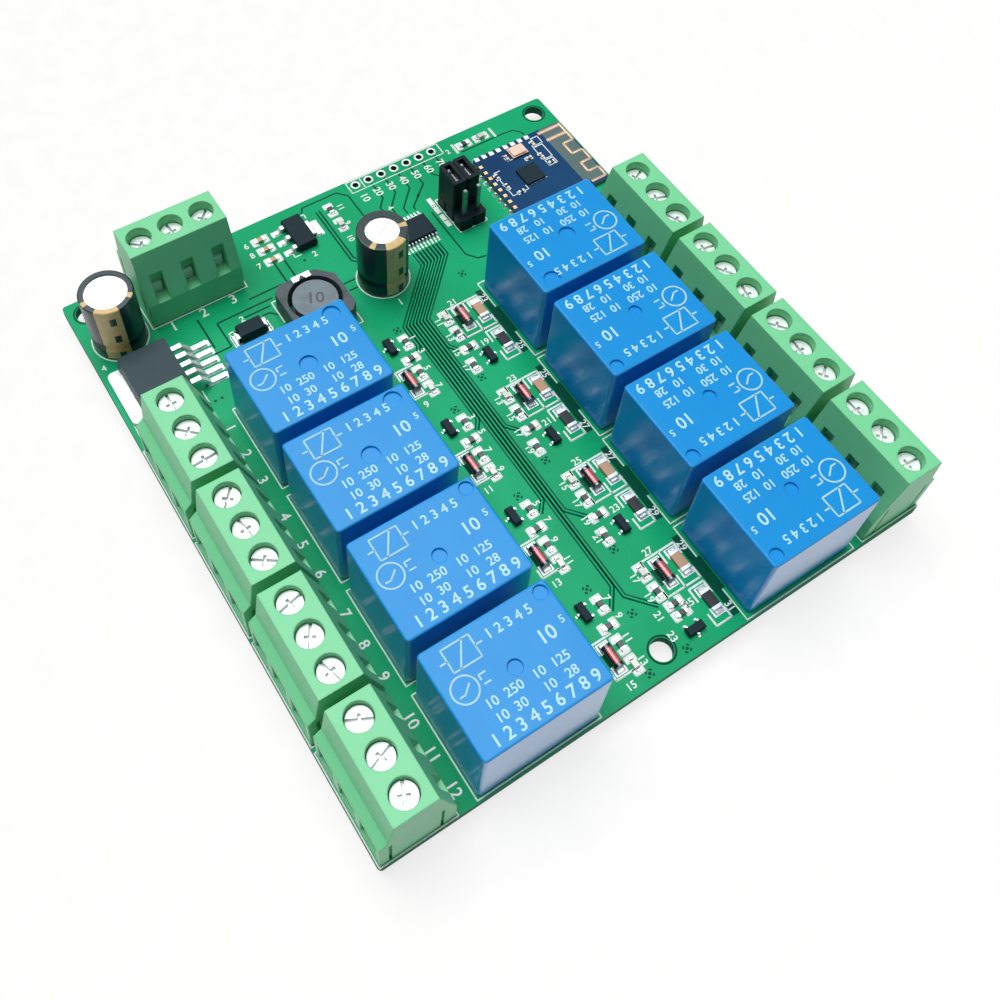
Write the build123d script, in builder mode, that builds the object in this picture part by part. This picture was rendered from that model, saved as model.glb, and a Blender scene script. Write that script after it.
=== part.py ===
from build123d import *
import math
import os

# An eight-channel relay module board, in millimetres.
# The origin is the middle of the board's outline, at the tips of the longest pins below it.
# X runs from the west row of relays to the east row, Y from the south edge to the supply edge.
# Places on the board are measured from its south-west corner on its upper face.

# Printed circuit board
board_width = 91.35
board_depth = 97.2
board_thickness = 1.6
board_corner_radius = 0.6
pin_stub = 1.9
short_pin_stub = 1.6
mounting_hole_radius = 1.7
mounting_hole_inset = 2.95
south_hole_x = 45.9
south_hole_y = 3.2

# Row of bare holes for programming
program_hole_count = 7
header_pitch = 2.54
program_hole_radius = 0.5
program_first_x = 52.25
program_row_y = 95.85

# Relays
relay_count = 4
relay_pitch = 16.95
relay_length = 18.8
relay_width = 15.1
relay_height = 15.1
relay_standoff = 0.3
relay_wall = 0.8
relay_roof = 0.9
relay_corner_radius = 0.6
relay_edge_radius = 0.3
west_relay_x = 23.95
east_relay_x = 68.5
west_relay_first_y = 58.95
east_relay_first_y = 59.2
dimple_depth = 0.35
dimple_radius = 1.0
corner_dimple_x = 8.0
corner_dimple_y = 6.15
wide_dimple_radius = 1.3
wide_corner_dimple_x = 6.85
wide_corner_dimple_y = 5.8
wide_dimple_relays = (1, 2, 5)

# Relay base, coil, iron and contacts
seat_clearance = 0.05
base_thickness = 1.8
foot_radius = 0.6
foot_middle_x = -1.0
foot_spacing_x = 7.0
foot_spacing_y = 11.6
coil_x = 0.9
spool_tube_radius = 2.4
spool_bore_radius = 1.9
flange_radius = 4.9
flange_thickness = 0.7
winding_radius = 4.6
winding_height = 6.4
winding_gap = 0.3
spool_cheek_width = 0.9
yoke_thickness = 0.9
yoke_width = 7.8
yoke_end_x = 7.0
core_radius = 1.7
pole_radius = 2.6
pole_thickness = 0.5
armature_gap = 0.42
armature_thickness = 0.9
armature_width = 7.2
armature_tail = 0.3
armature_tip_x = -2.2
hinge_clearance = 0.05
spring_thickness = 0.2
spring_width = 3.2
contact_x = -7.1
contact_radius = 0.8
contact_height = 0.35
contact_clearance = 0.03
contact_travel = 0.6
contact_arm_width = 1.6
contact_arm_thickness = 0.4
contact_pin_y = 6.15
contact_pin_width = 1.2
contact_pin_thickness = 0.5
coil_pin_x = 5.25
coil_pin_y = 5.9
coil_pin_radius = 0.3
coil_pin_rise = 2.0
common_pin_rise = 5.5
relay_pin_hole_radius = 0.8
coil_pin_hole_radius = 0.5
pin_slot_clearance = 0.1

# Screw terminals
terminal_ways = 3
terminal_pitch = 5.08
terminal_end_wall = 0.18
terminal_depth = 10.8
terminal_height = 14.3
shoulder_height = 7.7
shoulder_rise = 1.2
shoulder_run = 1.2
top_outer_inset = 1.95
top_inner_inset = 8.1
inner_break_height = 5.0
west_terminal_gap = 0.3
east_terminal_gap = 0.1
supply_terminal_gap = 0.05
supply_terminal_x = 18.55
screw_head_radius = 1.75
screw_head_height = 1.6
west_screw_recess = 1.2
east_screw_recess = 1.6
supply_screw_recess = 1.8
screw_well_clearance = 0.15
screw_radius = 1.25
screw_bore_clearance = 0.1
screw_slot_width = 0.4
screw_slot_depth = 0.6
screw_cross_length = 1.5
screw_turn_step = 47
entry_width = 3.8
entry_height = 4.9
entry_floor = 1.6
clamp_side_clearance = 0.1
clamp_floor_clearance = 0.1
clamp_height = 4.7
clamp_length = 4.2
clamp_wall = 0.5
clamp_top = 1.2
clamp_thread_clearance = 0.05
contact_strip_thickness = 0.6
contact_strip_gap = 0.4
contact_strip_width = 1.5
leg_thickness = 0.6
leg_slot_clearance = 0.1
leg_height = 7.2
terminal_pin_width = 1.0
terminal_pin_hole_radius = 0.75
window_width = 2.0
window_height = 5.3
end_groove_width = 0.45
end_groove_depth = 0.5
end_groove_height = 7.3
end_groove_outer = 1.5
end_groove_inner = 8.8

# Electrolytic capacitors
capacitor_places = ((5.55, 87.3), (46.2, 76.5))
can_radius = 3.8
can_height = 11.3
can_standoff = 0.3
can_edge_radius = 0.5
can_groove_height = 1.9
can_groove_radius = 0.7
can_groove_depth = 0.35
sleeve_clearance = 0.03
sleeve_wall = 0.27
sleeve_overlaps = (0.6, 1.1)
capacitor_lead_pitch = 3.5
capacitor_lead_radius = 0.3
capacitor_hole_radius = 0.45

# Power inductor
inductor_x = 33.6
inductor_y = 75.8
inductor_size = 10.0
inductor_height = 4.0
inductor_broad_corner = 2.4
inductor_narrow_corner = 1.1
inductor_bore_radius = 4.3
drum_radius = 3.6
drum_post_radius = 1.8
drum_disc_thickness = 0.8
drum_recess = 0.1
inductor_winding_radius = 3.4
inductor_winding_gap = 0.2
inductor_clip_width = 3.2
inductor_clip_thickness = 0.18
inductor_clip_lap = 0.9
inductor_clip_notch = 1.2

# Power regulator with a metal tab
regulator_x = 6.75
regulator_y = 76.1
regulator_length = 8.1
regulator_width = 10.1
regulator_height = 4.4
regulator_draft = 0.3
regulator_tab_thickness = 1.27
regulator_tab_reach = 1.95
regulator_tab_corner = 0.8
regulator_tab_neck = 8.0
regulator_tab_inside = 6.0
regulator_lead_count = 5
regulator_lead_pitch = 1.7
regulator_lead_width = 0.8
regulator_lead_thickness = 0.45
regulator_lead_level = 2.4
regulator_lead_bite = 0.8
regulator_shoulder = 1.1
regulator_foot = 2.6
regulator_lead_reach = 5.5

# Small regulator
small_regulator_x = 38.75
small_regulator_y = 90.95
small_regulator_length = 3.5
small_regulator_width = 6.5
small_regulator_height = 1.6
small_regulator_standoff = 0.06
small_regulator_draft = 0.15
small_regulator_lead_pitch = 2.3
small_regulator_lead_width = 0.75
small_regulator_tab_width = 3.0
small_regulator_lead_thickness = 0.28
small_regulator_lead_level = 0.85
small_regulator_lead_bite = 0.5
small_regulator_shoulder = 0.3
small_regulator_foot = 0.7
small_regulator_lead_reach = 1.75

# Power diode
power_diode_x = 23.05
power_diode_y = 77.5
power_diode_length = 4.3
power_diode_width = 2.6
power_diode_height = 2.2
power_diode_lead_width = 1.5
power_diode_lead_thickness = 0.2
power_diode_lead_reach = 0.5
power_diode_lead_foot = 1.2
power_diode_lead_bite = 0.6
power_diode_lead_level = 1.2
power_diode_draft = 0.15

# Controller chip
controller_x = 55.25
controller_y = 81.8
controller_length = 6.5
controller_width = 4.4
controller_height = 1.0
controller_standoff = 0.1
controller_leads_per_side = 10
controller_lead_pitch = 0.65
controller_lead_width = 0.24
controller_lead_thickness = 0.15
controller_lead_bite = 0.3
controller_shoulder = 0.15
controller_foot = 0.35
controller_lead_reach = 1.0
controller_draft = 0.1

# Jumper header
header_x = 64.6
header_y = 81.55
header_columns = 2
header_rows = 3
header_base_height = 2.54
header_base_corner = 0.35
header_pin_width = 0.64
header_pin_top = 8.6
header_pin_taper = 0.15
header_hole_radius = 0.5
jumper_width = 2.44
jumper_length = 4.94
jumper_height = 6.6
jumper_lift = 0.06
jumper_edge = 0.25
jumper_seat_clearance = 0.02
jumper_clip_inset = 0.5
jumper_clip_wall = 0.2
jumper_clip_clearance = 0.02
jumper_clip_height = 4.6

# Radio board
radio_x = 71.95
radio_y = 74.35
radio_length = 18.7
radio_width = 15.6
radio_thickness = 0.8
radio_corner_radius = 1.0
castellation_pitch = 1.5
castellation_radius = 0.3
north_castellations = 8
north_castellation_start = 0.95
west_castellations = 9
west_castellation_start = 1.3
radio_chip_x = 79.0
radio_chip_y = 81.85
radio_chip_size = 3.8
radio_chip_height = 0.5
crystal_x = 80.0
crystal_y = 87.4
crystal_length = 3.2
crystal_width = 2.4
crystal_height = 0.7
crystal_base_height = 0.4
crystal_edge = 0.2

# Small parts soldered flat: length, width, height and metal end of each chip size
small_chip = (1.0, 0.5, 0.4, 0.25)
medium_chip = (1.6, 0.85, 0.5, 0.35)
large_chip = (3.2, 1.6, 0.7, 0.5)
chip_end_swell = 0.03
transistor_length = 2.9
transistor_width = 1.3
transistor_height = 1.0
transistor_standoff = 0.08
transistor_draft = 0.12
transistor_lead_pitch = 1.9
transistor_lead_width = 0.4
transistor_lead_thickness = 0.14
transistor_lead_level = 0.5
transistor_lead_bite = 0.25
transistor_shoulder = 0.12
transistor_foot = 0.25
transistor_lead_reach = 0.55
diode_length = 3.4
diode_radius = 0.72
diode_cap_length = 0.5
diode_cap_radius = 0.78
led_base_height = 0.3
led_lens_length = 1.1
led_lens_height = 0.35

# Places and turns of the small parts: x, y and turn, for a first channel or for a single part
west_transistors = ((39.85, 63.8, 0),)
west_resistors = ((42.6, 63.6, 90), (41.7, 60.5, 0), (41.5, 57.6, 90))
west_diodes = ((39.4, 56.7, 0),)
west_leds = ((41.5, 54.4, 90),)
east_transistors = ((52.4, 54.6, 180),)
east_resistors = ((50.4, 60.8, 90), (50.5, 57.6, 0), (49.3, 54.4, 90))
east_large_resistors = ((55.9, 56.0, 90),)
east_large_capacitors = ((55.9, 62.8, 90),)
east_diodes = ((52.9, 62.8, 0),)
east_leds = ((50.4, 64.2, 90),)
last_transistors = ((51.4, 3.0, 90),)
last_resistors = ((50.4, 10.0, 90), (51.4, 7.4, 0), (51.4, 5.8, 0))
last_diodes = ((52.95, 11.8, 0),)
single_resistors = ((45.8, 93.1, 90), (73.3, 94.3, 0))
single_leds = ((45.8, 89.5, 90), (76.9, 94.3, 0))
single_capacitors = ((32.7, 93.3, 0), (32.7, 91.1, 0), (32.7, 88.6, 0))
radio_resistors = ((73.6, 84.25, 90), (73.9, 81.6, 90), (75.4, 79.4, 0), (83.8, 82.35, 0))
radio_capacitors = ((77.5, 87.1, 90), (83.4, 87.6, 90), (83.1, 84.5, 90), (80.9, 85.15, 0))

# Worked out from the sizes above
board_top = pin_stub + board_thickness
board_face = Plane(origin=(-board_width / 2, -board_depth / 2, board_top))


def on_board(x, y, turn=0, height=0):
    """Plane at x and y from the board's south-west corner, turned about the vertical."""
    return Plane(board_face.offset(height).location * Location((x, y, 0), (0, 0, turn)))


def section_plane(place):
    """Upright plane through a place: its X is the place's Y, its Y is up."""
    return Plane(origin=place.origin, x_dir=place.y_dir, z_dir=place.x_dir)


def side_plane(place):
    """Upright plane through a place: its X is the place's X, its Y is up."""
    return Plane(origin=place.origin, x_dir=place.x_dir, z_dir=-place.y_dir)


def save(part, name):
    """Label a finished piece and write it under its own name."""
    part.label = name
    export_step(part, f"parts/{name}.step")


def group(parts):
    """Gather separate solids into one piece for one node."""
    return Compound(children=list(parts))


os.makedirs("parts", exist_ok=True)

# Places of the repeated pieces
west_relays = [on_board(west_relay_x, west_relay_first_y - relay_pitch * row) for row in range(relay_count)]
east_relays = [on_board(east_relay_x, east_relay_first_y - relay_pitch * row, 180) for row in range(relay_count)]
relays = west_relays + east_relays

west_terminals = [
    on_board(west_terminal_gap, west_relay_first_y - relay_pitch * row, -90) for row in range(relay_count)
]
east_terminals = [
    on_board(board_width - east_terminal_gap, east_relay_first_y - relay_pitch * row, 90)
    for row in range(relay_count)
]
supply_terminal = on_board(supply_terminal_x, board_depth - supply_terminal_gap, 180)
terminals = west_terminals + east_terminals + [supply_terminal]
screw_recesses = (
    [west_screw_recess] * len(west_terminals)
    + [east_screw_recess] * len(east_terminals)
    + [supply_screw_recess]
)

# Heights and places inside a terminal, from the board's face and from the wire entry's face
terminal_length = terminal_ways * terminal_pitch + 2 * terminal_end_wall
screw_y = (top_outer_inset + top_inner_inset) / 2
clamp_width = entry_width - 2 * clamp_side_clearance
clamp_floor = entry_floor + clamp_floor_clearance
clamp_roof = clamp_floor + clamp_height
screw_tip = clamp_roof - clamp_top - contact_strip_gap / 2
strip_top = clamp_roof - clamp_top - contact_strip_gap
leg_front = screw_y + clamp_length / 2 + leg_slot_clearance * 2 + leg_thickness
leg_y = leg_front + leg_thickness / 2
leg_slot_end = leg_front + leg_thickness + leg_slot_clearance
end_grooves = (end_groove_outer, end_groove_inner)
way_offsets = [terminal_pitch * (way - (terminal_ways - 1) / 2) for way in range(terminal_ways)]

# Heights inside a relay, from the board's face
base_top = relay_standoff + base_thickness
limb_top = base_top + yoke_thickness
winding_floor = limb_top + flange_thickness
winding_roof = winding_floor + winding_height
spool_top = winding_roof + flange_thickness
pole_top = spool_top + pole_thickness
armature_floor = pole_top + armature_gap
armature_top = armature_floor + armature_thickness
yoke_top = armature_floor - hinge_clearance
spring_top = armature_top + spring_thickness
moving_contact_top = spring_top + contact_height
moving_contact_floor = armature_top - contact_height
yoke_inner_x = yoke_end_x - yoke_thickness
closed_contact_floor = moving_contact_top + contact_clearance
open_contact_top = moving_contact_floor - contact_travel - contact_clearance
pin_tip = -(board_thickness + short_pin_stub)
common_pin_x = yoke_end_x + contact_pin_thickness / 2
pin_slot_width = contact_pin_width + 2 * pin_slot_clearance
pin_slot_thickness = contact_pin_thickness + 2 * pin_slot_clearance
relay_inner_length = relay_length - 2 * relay_wall
relay_inner_width = relay_width - 2 * relay_wall


def relay_cover(place, number):
    """Blue plastic cover, open below, with two shallow round marks in its roof."""
    wide = number in wide_dimple_relays
    radius = wide_dimple_radius if wide else dimple_radius
    corner = (wide_corner_dimple_x, wide_corner_dimple_y) if wide else (corner_dimple_x, corner_dimple_y)
    with BuildPart() as cover:
        with BuildSketch(place.offset(relay_standoff)):
            RectangleRounded(relay_length, relay_width, relay_corner_radius)
        extrude(amount=relay_height - relay_standoff)
        fillet(cover.faces().sort_by(Axis.Z)[-1].edges(), radius=relay_edge_radius)
        with BuildSketch(place.offset(relay_standoff)):
            Rectangle(relay_inner_length, relay_inner_width)
        extrude(amount=relay_height - relay_standoff - relay_roof, mode=Mode.SUBTRACT)
        with BuildSketch(place.offset(relay_height - dimple_depth)):
            with Locations((0, 0), corner):
                Circle(radius)
        extrude(amount=dimple_depth, mode=Mode.SUBTRACT)
    return cover.part


def relay_base(place):
    """Base plate with its feet and the coil's spool, moulded in one piece."""
    cheek_y = (yoke_width + spool_cheek_width) / 2 + pin_slot_clearance
    with BuildPart() as base:
        with BuildSketch(place.offset(relay_standoff)):
            Rectangle(relay_inner_length - 2 * seat_clearance, relay_inner_width - 2 * seat_clearance)
        extrude(amount=base_thickness)
        with BuildSketch(place):
            with Locations((foot_middle_x, 0)):
                with GridLocations(foot_spacing_x, foot_spacing_y, 2, 2):
                    Circle(foot_radius)
        extrude(amount=relay_standoff)
        with BuildSketch(place.offset(base_top)):
            with Locations((coil_x, cheek_y), (coil_x, -cheek_y)):
                Rectangle(flange_radius, spool_cheek_width)
        extrude(amount=yoke_thickness)
        with BuildSketch(place.offset(limb_top)):
            with Locations((coil_x, 0)):
                Circle(flange_radius)
        extrude(amount=flange_thickness)
        with BuildSketch(place.offset(winding_floor)):
            with Locations((coil_x, 0)):
                Circle(spool_tube_radius)
        extrude(amount=winding_height)
        with BuildSketch(place.offset(winding_roof)):
            with Locations((coil_x, 0)):
                Circle(flange_radius)
        extrude(amount=flange_thickness)
        with BuildSketch(place.offset(limb_top)):
            with Locations((coil_x, 0)):
                Circle(spool_bore_radius)
        extrude(amount=spool_top - limb_top, mode=Mode.SUBTRACT)
        with BuildSketch(place.offset(relay_standoff)):
            with Locations((common_pin_x, 0)):
                Rectangle(pin_slot_thickness, pin_slot_width)
            with Locations((contact_x, contact_pin_y), (contact_x, -contact_pin_y)):
                Rectangle(pin_slot_width, pin_slot_thickness)
            with Locations((coil_pin_x, coil_pin_y), (coil_pin_x, -coil_pin_y)):
                Circle(coil_pin_radius + seat_clearance)
        extrude(amount=base_thickness, mode=Mode.SUBTRACT)
    return base.part


def relay_winding(place):
    """Enamelled copper coil on the spool."""
    with BuildPart() as winding:
        with BuildSketch(place.offset(winding_floor)):
            with Locations((coil_x, 0)):
                Circle(winding_radius)
                Circle(spool_tube_radius + winding_gap, mode=Mode.SUBTRACT)
        extrude(amount=winding_height)
    return winding.part


def relay_iron(place):
    """Core with its pole face, riveted to the bent yoke."""
    with BuildPart() as iron:
        with BuildSketch(side_plane(place)):
            with BuildLine():
                Polyline(
                    (coil_x - pole_radius, base_top),
                    (yoke_end_x, base_top),
                    (yoke_end_x, yoke_top),
                    (yoke_inner_x, yoke_top),
                    (yoke_inner_x, limb_top),
                    (coil_x - pole_radius, limb_top),
                    close=True,
                )
            make_face()
        extrude(amount=yoke_width / 2, both=True)
        with BuildSketch(place.offset(base_top)):
            with Locations((coil_x, 0)):
                Circle(core_radius)
        extrude(amount=pole_top - base_top)
        with BuildSketch(place.offset(spool_top)):
            with Locations((coil_x, 0)):
                Circle(pole_radius)
        extrude(amount=pole_thickness)
    return iron.part


def relay_armature(place):
    """Iron armature with the contact spring riveted on it and its two-sided contact."""
    with BuildPart() as armature:
        with BuildSketch(place.offset(armature_floor)):
            with Locations(((yoke_end_x + armature_tail + armature_tip_x) / 2, 0)):
                Rectangle(yoke_end_x + armature_tail - armature_tip_x, armature_width)
        extrude(amount=armature_thickness)
        with BuildSketch(place.offset(armature_top)):
            with Locations(((yoke_inner_x + contact_x - contact_radius) / 2, 0)):
                Rectangle(yoke_inner_x - contact_x + contact_radius, spring_width)
        extrude(amount=spring_thickness)
        with BuildSketch(place.offset(moving_contact_floor)):
            with Locations((contact_x, 0)):
                Circle(contact_radius)
        extrude(amount=moving_contact_top - moving_contact_floor)
    return armature.part


def fixed_contact(place, side, arm_floor, button_floor, button_top):
    """One fixed contact: a button on an arm, with its pin down through the base and the board."""
    arm_top = arm_floor + contact_arm_thickness
    outer_y = contact_pin_y + contact_pin_thickness / 2
    inner_y = -contact_radius
    with BuildPart() as contact:
        with BuildSketch(place.offset(arm_floor)):
            with Locations((contact_x, side * (outer_y + inner_y) / 2)):
                Rectangle(contact_arm_width, outer_y - inner_y)
        extrude(amount=contact_arm_thickness)
        with BuildSketch(place.offset(button_floor)):
            with Locations((contact_x, 0)):
                Circle(contact_radius)
        extrude(amount=button_top - button_floor)
        with BuildSketch(place.offset(pin_tip)):
            with Locations((contact_x, side * contact_pin_y)):
                Rectangle(contact_pin_width, contact_pin_thickness)
        extrude(amount=arm_top - pin_tip)
    return contact.part


def relay_contacts(place):
    """The normally closed contact above the moving one and the normally open contact below it."""
    closed_arm = closed_contact_floor + contact_height
    open_arm = open_contact_top - contact_height - contact_arm_thickness
    return [
        fixed_contact(place, 1, closed_arm, closed_contact_floor, closed_arm),
        fixed_contact(place, -1, open_arm, open_arm + contact_arm_thickness, open_contact_top),
    ]


def relay_pins(place):
    """The common pin on the yoke and the two coil pins."""
    with BuildPart() as pins:
        with BuildSketch(place.offset(pin_tip)):
            with Locations((common_pin_x, 0)):
                Rectangle(contact_pin_thickness, contact_pin_width)
        extrude(amount=base_top + common_pin_rise - pin_tip)
        with BuildSketch(place.offset(pin_tip)):
            with Locations((coil_pin_x, coil_pin_y), (coil_pin_x, -coil_pin_y)):
                Circle(coil_pin_radius)
        extrude(amount=base_top + coil_pin_rise - pin_tip)
    return pins.part


for number, place in enumerate(relays, start=1):
    save(relay_cover(place, number), f"relay_cover_{number}")
    save(relay_armature(place), f"relay_armature_{number}")
save(group(relay_base(place) for place in relays), "relay_bases")
save(group(relay_winding(place) for place in relays), "relay_windings")
save(group(relay_iron(place) for place in relays), "relay_iron_frames")
save(group(contact for place in relays for contact in relay_contacts(place)), "relay_fixed_contacts")
save(group(relay_pins(place) for place in relays), "relay_pins")


def terminal_block(place, recess):
    """Green housing: stepped profile, screw wells, wire entries, test windows and end grooves."""
    screw_seat = terminal_height - recess - screw_head_height
    with BuildPart() as block:
        with BuildSketch(section_plane(place)):
            with BuildLine():
                Polyline(
                    (0, 0),
                    (0, shoulder_height),
                    (shoulder_run, shoulder_height + shoulder_rise),
                    (top_outer_inset, terminal_height),
                    (top_inner_inset, terminal_height),
                    (terminal_depth, inner_break_height),
                    (terminal_depth, 0),
                    close=True,
                )
            make_face()
        extrude(amount=terminal_length / 2, both=True)
        with BuildSketch(place.offset(screw_seat)):
            with Locations(*[(offset, screw_y) for offset in way_offsets]):
                Circle(screw_head_radius + screw_well_clearance)
        extrude(amount=terminal_height - screw_seat, mode=Mode.SUBTRACT)
        with BuildSketch(place.offset(entry_floor)):
            with Locations(*[(offset, screw_y) for offset in way_offsets]):
                Circle(screw_radius + screw_bore_clearance)
        extrude(amount=screw_seat - entry_floor, mode=Mode.SUBTRACT)
        with BuildSketch(place.offset(entry_floor)):
            with Locations(*[(offset, leg_front / 2) for offset in way_offsets]):
                Rectangle(entry_width, leg_front)
        extrude(amount=entry_height, mode=Mode.SUBTRACT)
        with BuildSketch(place):
            with Locations(*[(offset, leg_y) for offset in way_offsets]):
                Rectangle(
                    contact_strip_width + 2 * leg_slot_clearance,
                    leg_thickness + 2 * leg_slot_clearance,
                )
        extrude(amount=leg_height + leg_slot_clearance, mode=Mode.SUBTRACT)
        with BuildSketch(place.offset(inner_break_height)):
            with Locations(*[(offset, (leg_slot_end + terminal_depth) / 2) for offset in way_offsets]):
                Rectangle(window_width, terminal_depth - leg_slot_end + 2 * leg_thickness)
        extrude(amount=window_height, mode=Mode.SUBTRACT)
        with BuildSketch(place):
            with Locations(*[(side * terminal_length / 2, y) for side in (-1, 1) for y in end_grooves]):
                Rectangle(2 * end_groove_depth, end_groove_width)
        extrude(amount=end_groove_height, mode=Mode.SUBTRACT)
    return block.part


def terminal_screw(place, recess, offset, turn):
    """Clamp screw with a long and a short slot in its head, sunk by its recess."""
    screw_head_top = terminal_height - recess
    screw_seat = screw_head_top - screw_head_height
    with BuildPart() as screw:
        with BuildSketch(place.offset(screw_tip)):
            with Locations((offset, screw_y)):
                Circle(screw_radius)
        extrude(amount=screw_seat - screw_tip)
        with BuildSketch(place.offset(screw_seat)):
            with Locations((offset, screw_y)):
                Circle(screw_head_radius)
        extrude(amount=screw_head_height)
        with BuildSketch(place.offset(screw_head_top)):
            with Locations(Location((offset, screw_y, 0), (0, 0, turn))):
                Rectangle(3 * screw_head_radius, screw_slot_width)
                Rectangle(screw_slot_width, screw_cross_length)
        extrude(amount=-screw_slot_depth, mode=Mode.SUBTRACT)
    return screw.part


def terminal_clamp(place, offset):
    """Steel cage that the screw draws up round the wire."""
    with BuildPart() as clamp:
        with BuildSketch(place.offset(clamp_floor)):
            with Locations((offset, screw_y)):
                Rectangle(clamp_width, clamp_length)
        extrude(amount=clamp_height)
        with BuildSketch(place.offset(clamp_floor + clamp_wall)):
            with Locations((offset, screw_y)):
                Rectangle(clamp_width - 2 * clamp_wall, clamp_length)
        extrude(amount=clamp_height - clamp_wall - clamp_top, mode=Mode.SUBTRACT)
        with BuildSketch(place.offset(clamp_roof)):
            with Locations((offset, screw_y)):
                Circle(screw_radius + clamp_thread_clearance)
        extrude(amount=-clamp_top, mode=Mode.SUBTRACT)
    return clamp.part


def terminal_pin(place, offset):
    """Tinned contact strip under the screw, with its leg and its pin through the board."""
    strip_front = screw_y - clamp_length / 2
    with BuildPart() as pin:
        with BuildSketch(place.offset(strip_top)):
            with Locations((offset, (strip_front + leg_front + leg_thickness) / 2)):
                Rectangle(contact_strip_width, leg_front + leg_thickness - strip_front)
        extrude(amount=-contact_strip_thickness)
        with BuildSketch(place):
            with Locations((offset, leg_y)):
                Rectangle(contact_strip_width, leg_thickness)
        extrude(amount=leg_height)
        with BuildSketch(place):
            with Locations((offset, leg_y)):
                Rectangle(terminal_pin_width, leg_thickness)
        extrude(amount=-board_top)
    return pin.part


for number, (place, recess) in enumerate(zip(terminals, screw_recesses), start=1):
    save(terminal_block(place, recess), f"terminal_block_{number}")
ways = [(place, recess, offset) for place, recess in zip(terminals, screw_recesses) for offset in way_offsets]
screws = [terminal_screw(*way, screw_turn_step * index) for index, way in enumerate(ways)]
save(group(screws), "terminal_screws")
save(group(terminal_clamp(place, offset) for place, _, offset in ways), "terminal_clamps")
save(group(terminal_pin(place, offset) for place, _, offset in ways), "terminal_pins")

# Capacitors: outline of the can from its axis outwards, and the sleeve shrunk round it
can_top = can_standoff + can_height
groove_floor = can_standoff + can_groove_height
groove_roof = groove_floor + 2 * can_groove_radius
groove_wall = can_radius - can_groove_depth


def can_side(offset):
    """Points up the side of the can, with its crimped groove, moved out by an offset."""
    return [
        (can_radius + offset, groove_floor),
        (groove_wall + offset, groove_floor + can_groove_radius),
        (can_radius + offset, groove_roof),
    ]


def capacitor_can(place):
    """Aluminium can, sealed below by its bung."""
    with BuildPart() as can:
        with BuildSketch(side_plane(place)):
            with BuildLine():
                Polyline(
                    (0, can_standoff),
                    (can_radius, can_standoff),
                    *can_side(0),
                    (can_radius, can_top),
                    (0, can_top),
                    close=True,
                )
            make_face()
        revolve(axis=Axis(place.origin, place.z_dir))
        fillet(can.faces().sort_by(Axis.Z)[-1].edges(), radius=can_edge_radius)
    return can.part


def capacitor_sleeve(place, overlap):
    """Printed plastic sleeve that laps over the can's rim."""
    inner = sleeve_clearance
    outer = sleeve_clearance + sleeve_wall
    lap_radius = can_radius - overlap
    with BuildPart() as sleeve:
        with BuildSketch(side_plane(place)):
            with BuildLine():
                Polyline(
                    (can_radius + inner, can_standoff),
                    (can_radius + outer, can_standoff),
                    *can_side(outer),
                    (can_radius + outer, can_top + outer),
                    (lap_radius, can_top + outer),
                    (lap_radius, can_top + inner),
                    (can_radius + inner, can_top + inner),
                    *reversed(can_side(inner)),
                    close=True,
                )
            make_face()
        revolve(axis=Axis(place.origin, place.z_dir))
        rim = sleeve.edges().filter_by(GeomType.CIRCLE).group_by(Axis.Z)[-1].sort_by(SortBy.RADIUS)[-1]
        fillet(rim, radius=sleeve_wall)
    return sleeve.part


def capacitor_leads(place):
    """Two tinned wires, down through the board."""
    with BuildPart() as leads:
        with BuildSketch(place.offset(can_standoff)):
            with GridLocations(capacitor_lead_pitch, 1, 2, 1):
                Circle(capacitor_lead_radius)
        extrude(amount=pin_tip - can_standoff)
    return leads.part


capacitors = [on_board(x, y) for x, y in capacitor_places]
save(group(capacitor_can(place) for place in capacitors), "capacitor_cans")
sleeves = [capacitor_sleeve(place, overlap) for place, overlap in zip(capacitors, sleeve_overlaps)]
save(group(sleeves), "capacitor_sleeves")
save(group(capacitor_leads(place) for place in capacitors), "capacitor_leads")

# Power inductor: ferrite ring round a wound drum, on two clips
inductor = on_board(inductor_x, inductor_y)
shield_floor = inductor_clip_thickness
drum_floor = shield_floor
drum_top = inductor_height - drum_recess
inductor_half = inductor_size / 2

with BuildPart() as inductor_shield:
    with BuildSketch(inductor.offset(shield_floor)) as shield_outline:
        Rectangle(inductor_size, inductor_size)
        corners = shield_outline.vertices()
        chamfer([corner for corner in corners if corner.X * corner.Y > 0], length=inductor_broad_corner)
        chamfer([corner for corner in corners if corner.X * corner.Y < 0], length=inductor_narrow_corner)
        Circle(inductor_bore_radius, mode=Mode.SUBTRACT)
    extrude(amount=inductor_height - shield_floor)
save(inductor_shield.part, "inductor_shield")

with BuildPart() as inductor_core:
    with BuildSketch(inductor.offset(drum_floor)):
        Circle(drum_radius)
    extrude(amount=drum_disc_thickness)
    with BuildSketch(inductor.offset(drum_floor)):
        Circle(drum_post_radius)
    extrude(amount=drum_top - drum_floor)
    with BuildSketch(inductor.offset(drum_top)):
        Circle(drum_radius)
    extrude(amount=-drum_disc_thickness)
save(inductor_core.part, "inductor_core")

with BuildPart() as inductor_winding:
    with BuildSketch(inductor.offset(drum_floor + drum_disc_thickness)):
        Circle(inductor_winding_radius)
        Circle(drum_post_radius + inductor_winding_gap, mode=Mode.SUBTRACT)
    extrude(amount=drum_top - drum_floor - 2 * drum_disc_thickness)
save(inductor_winding.part, "inductor_winding")


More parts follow.
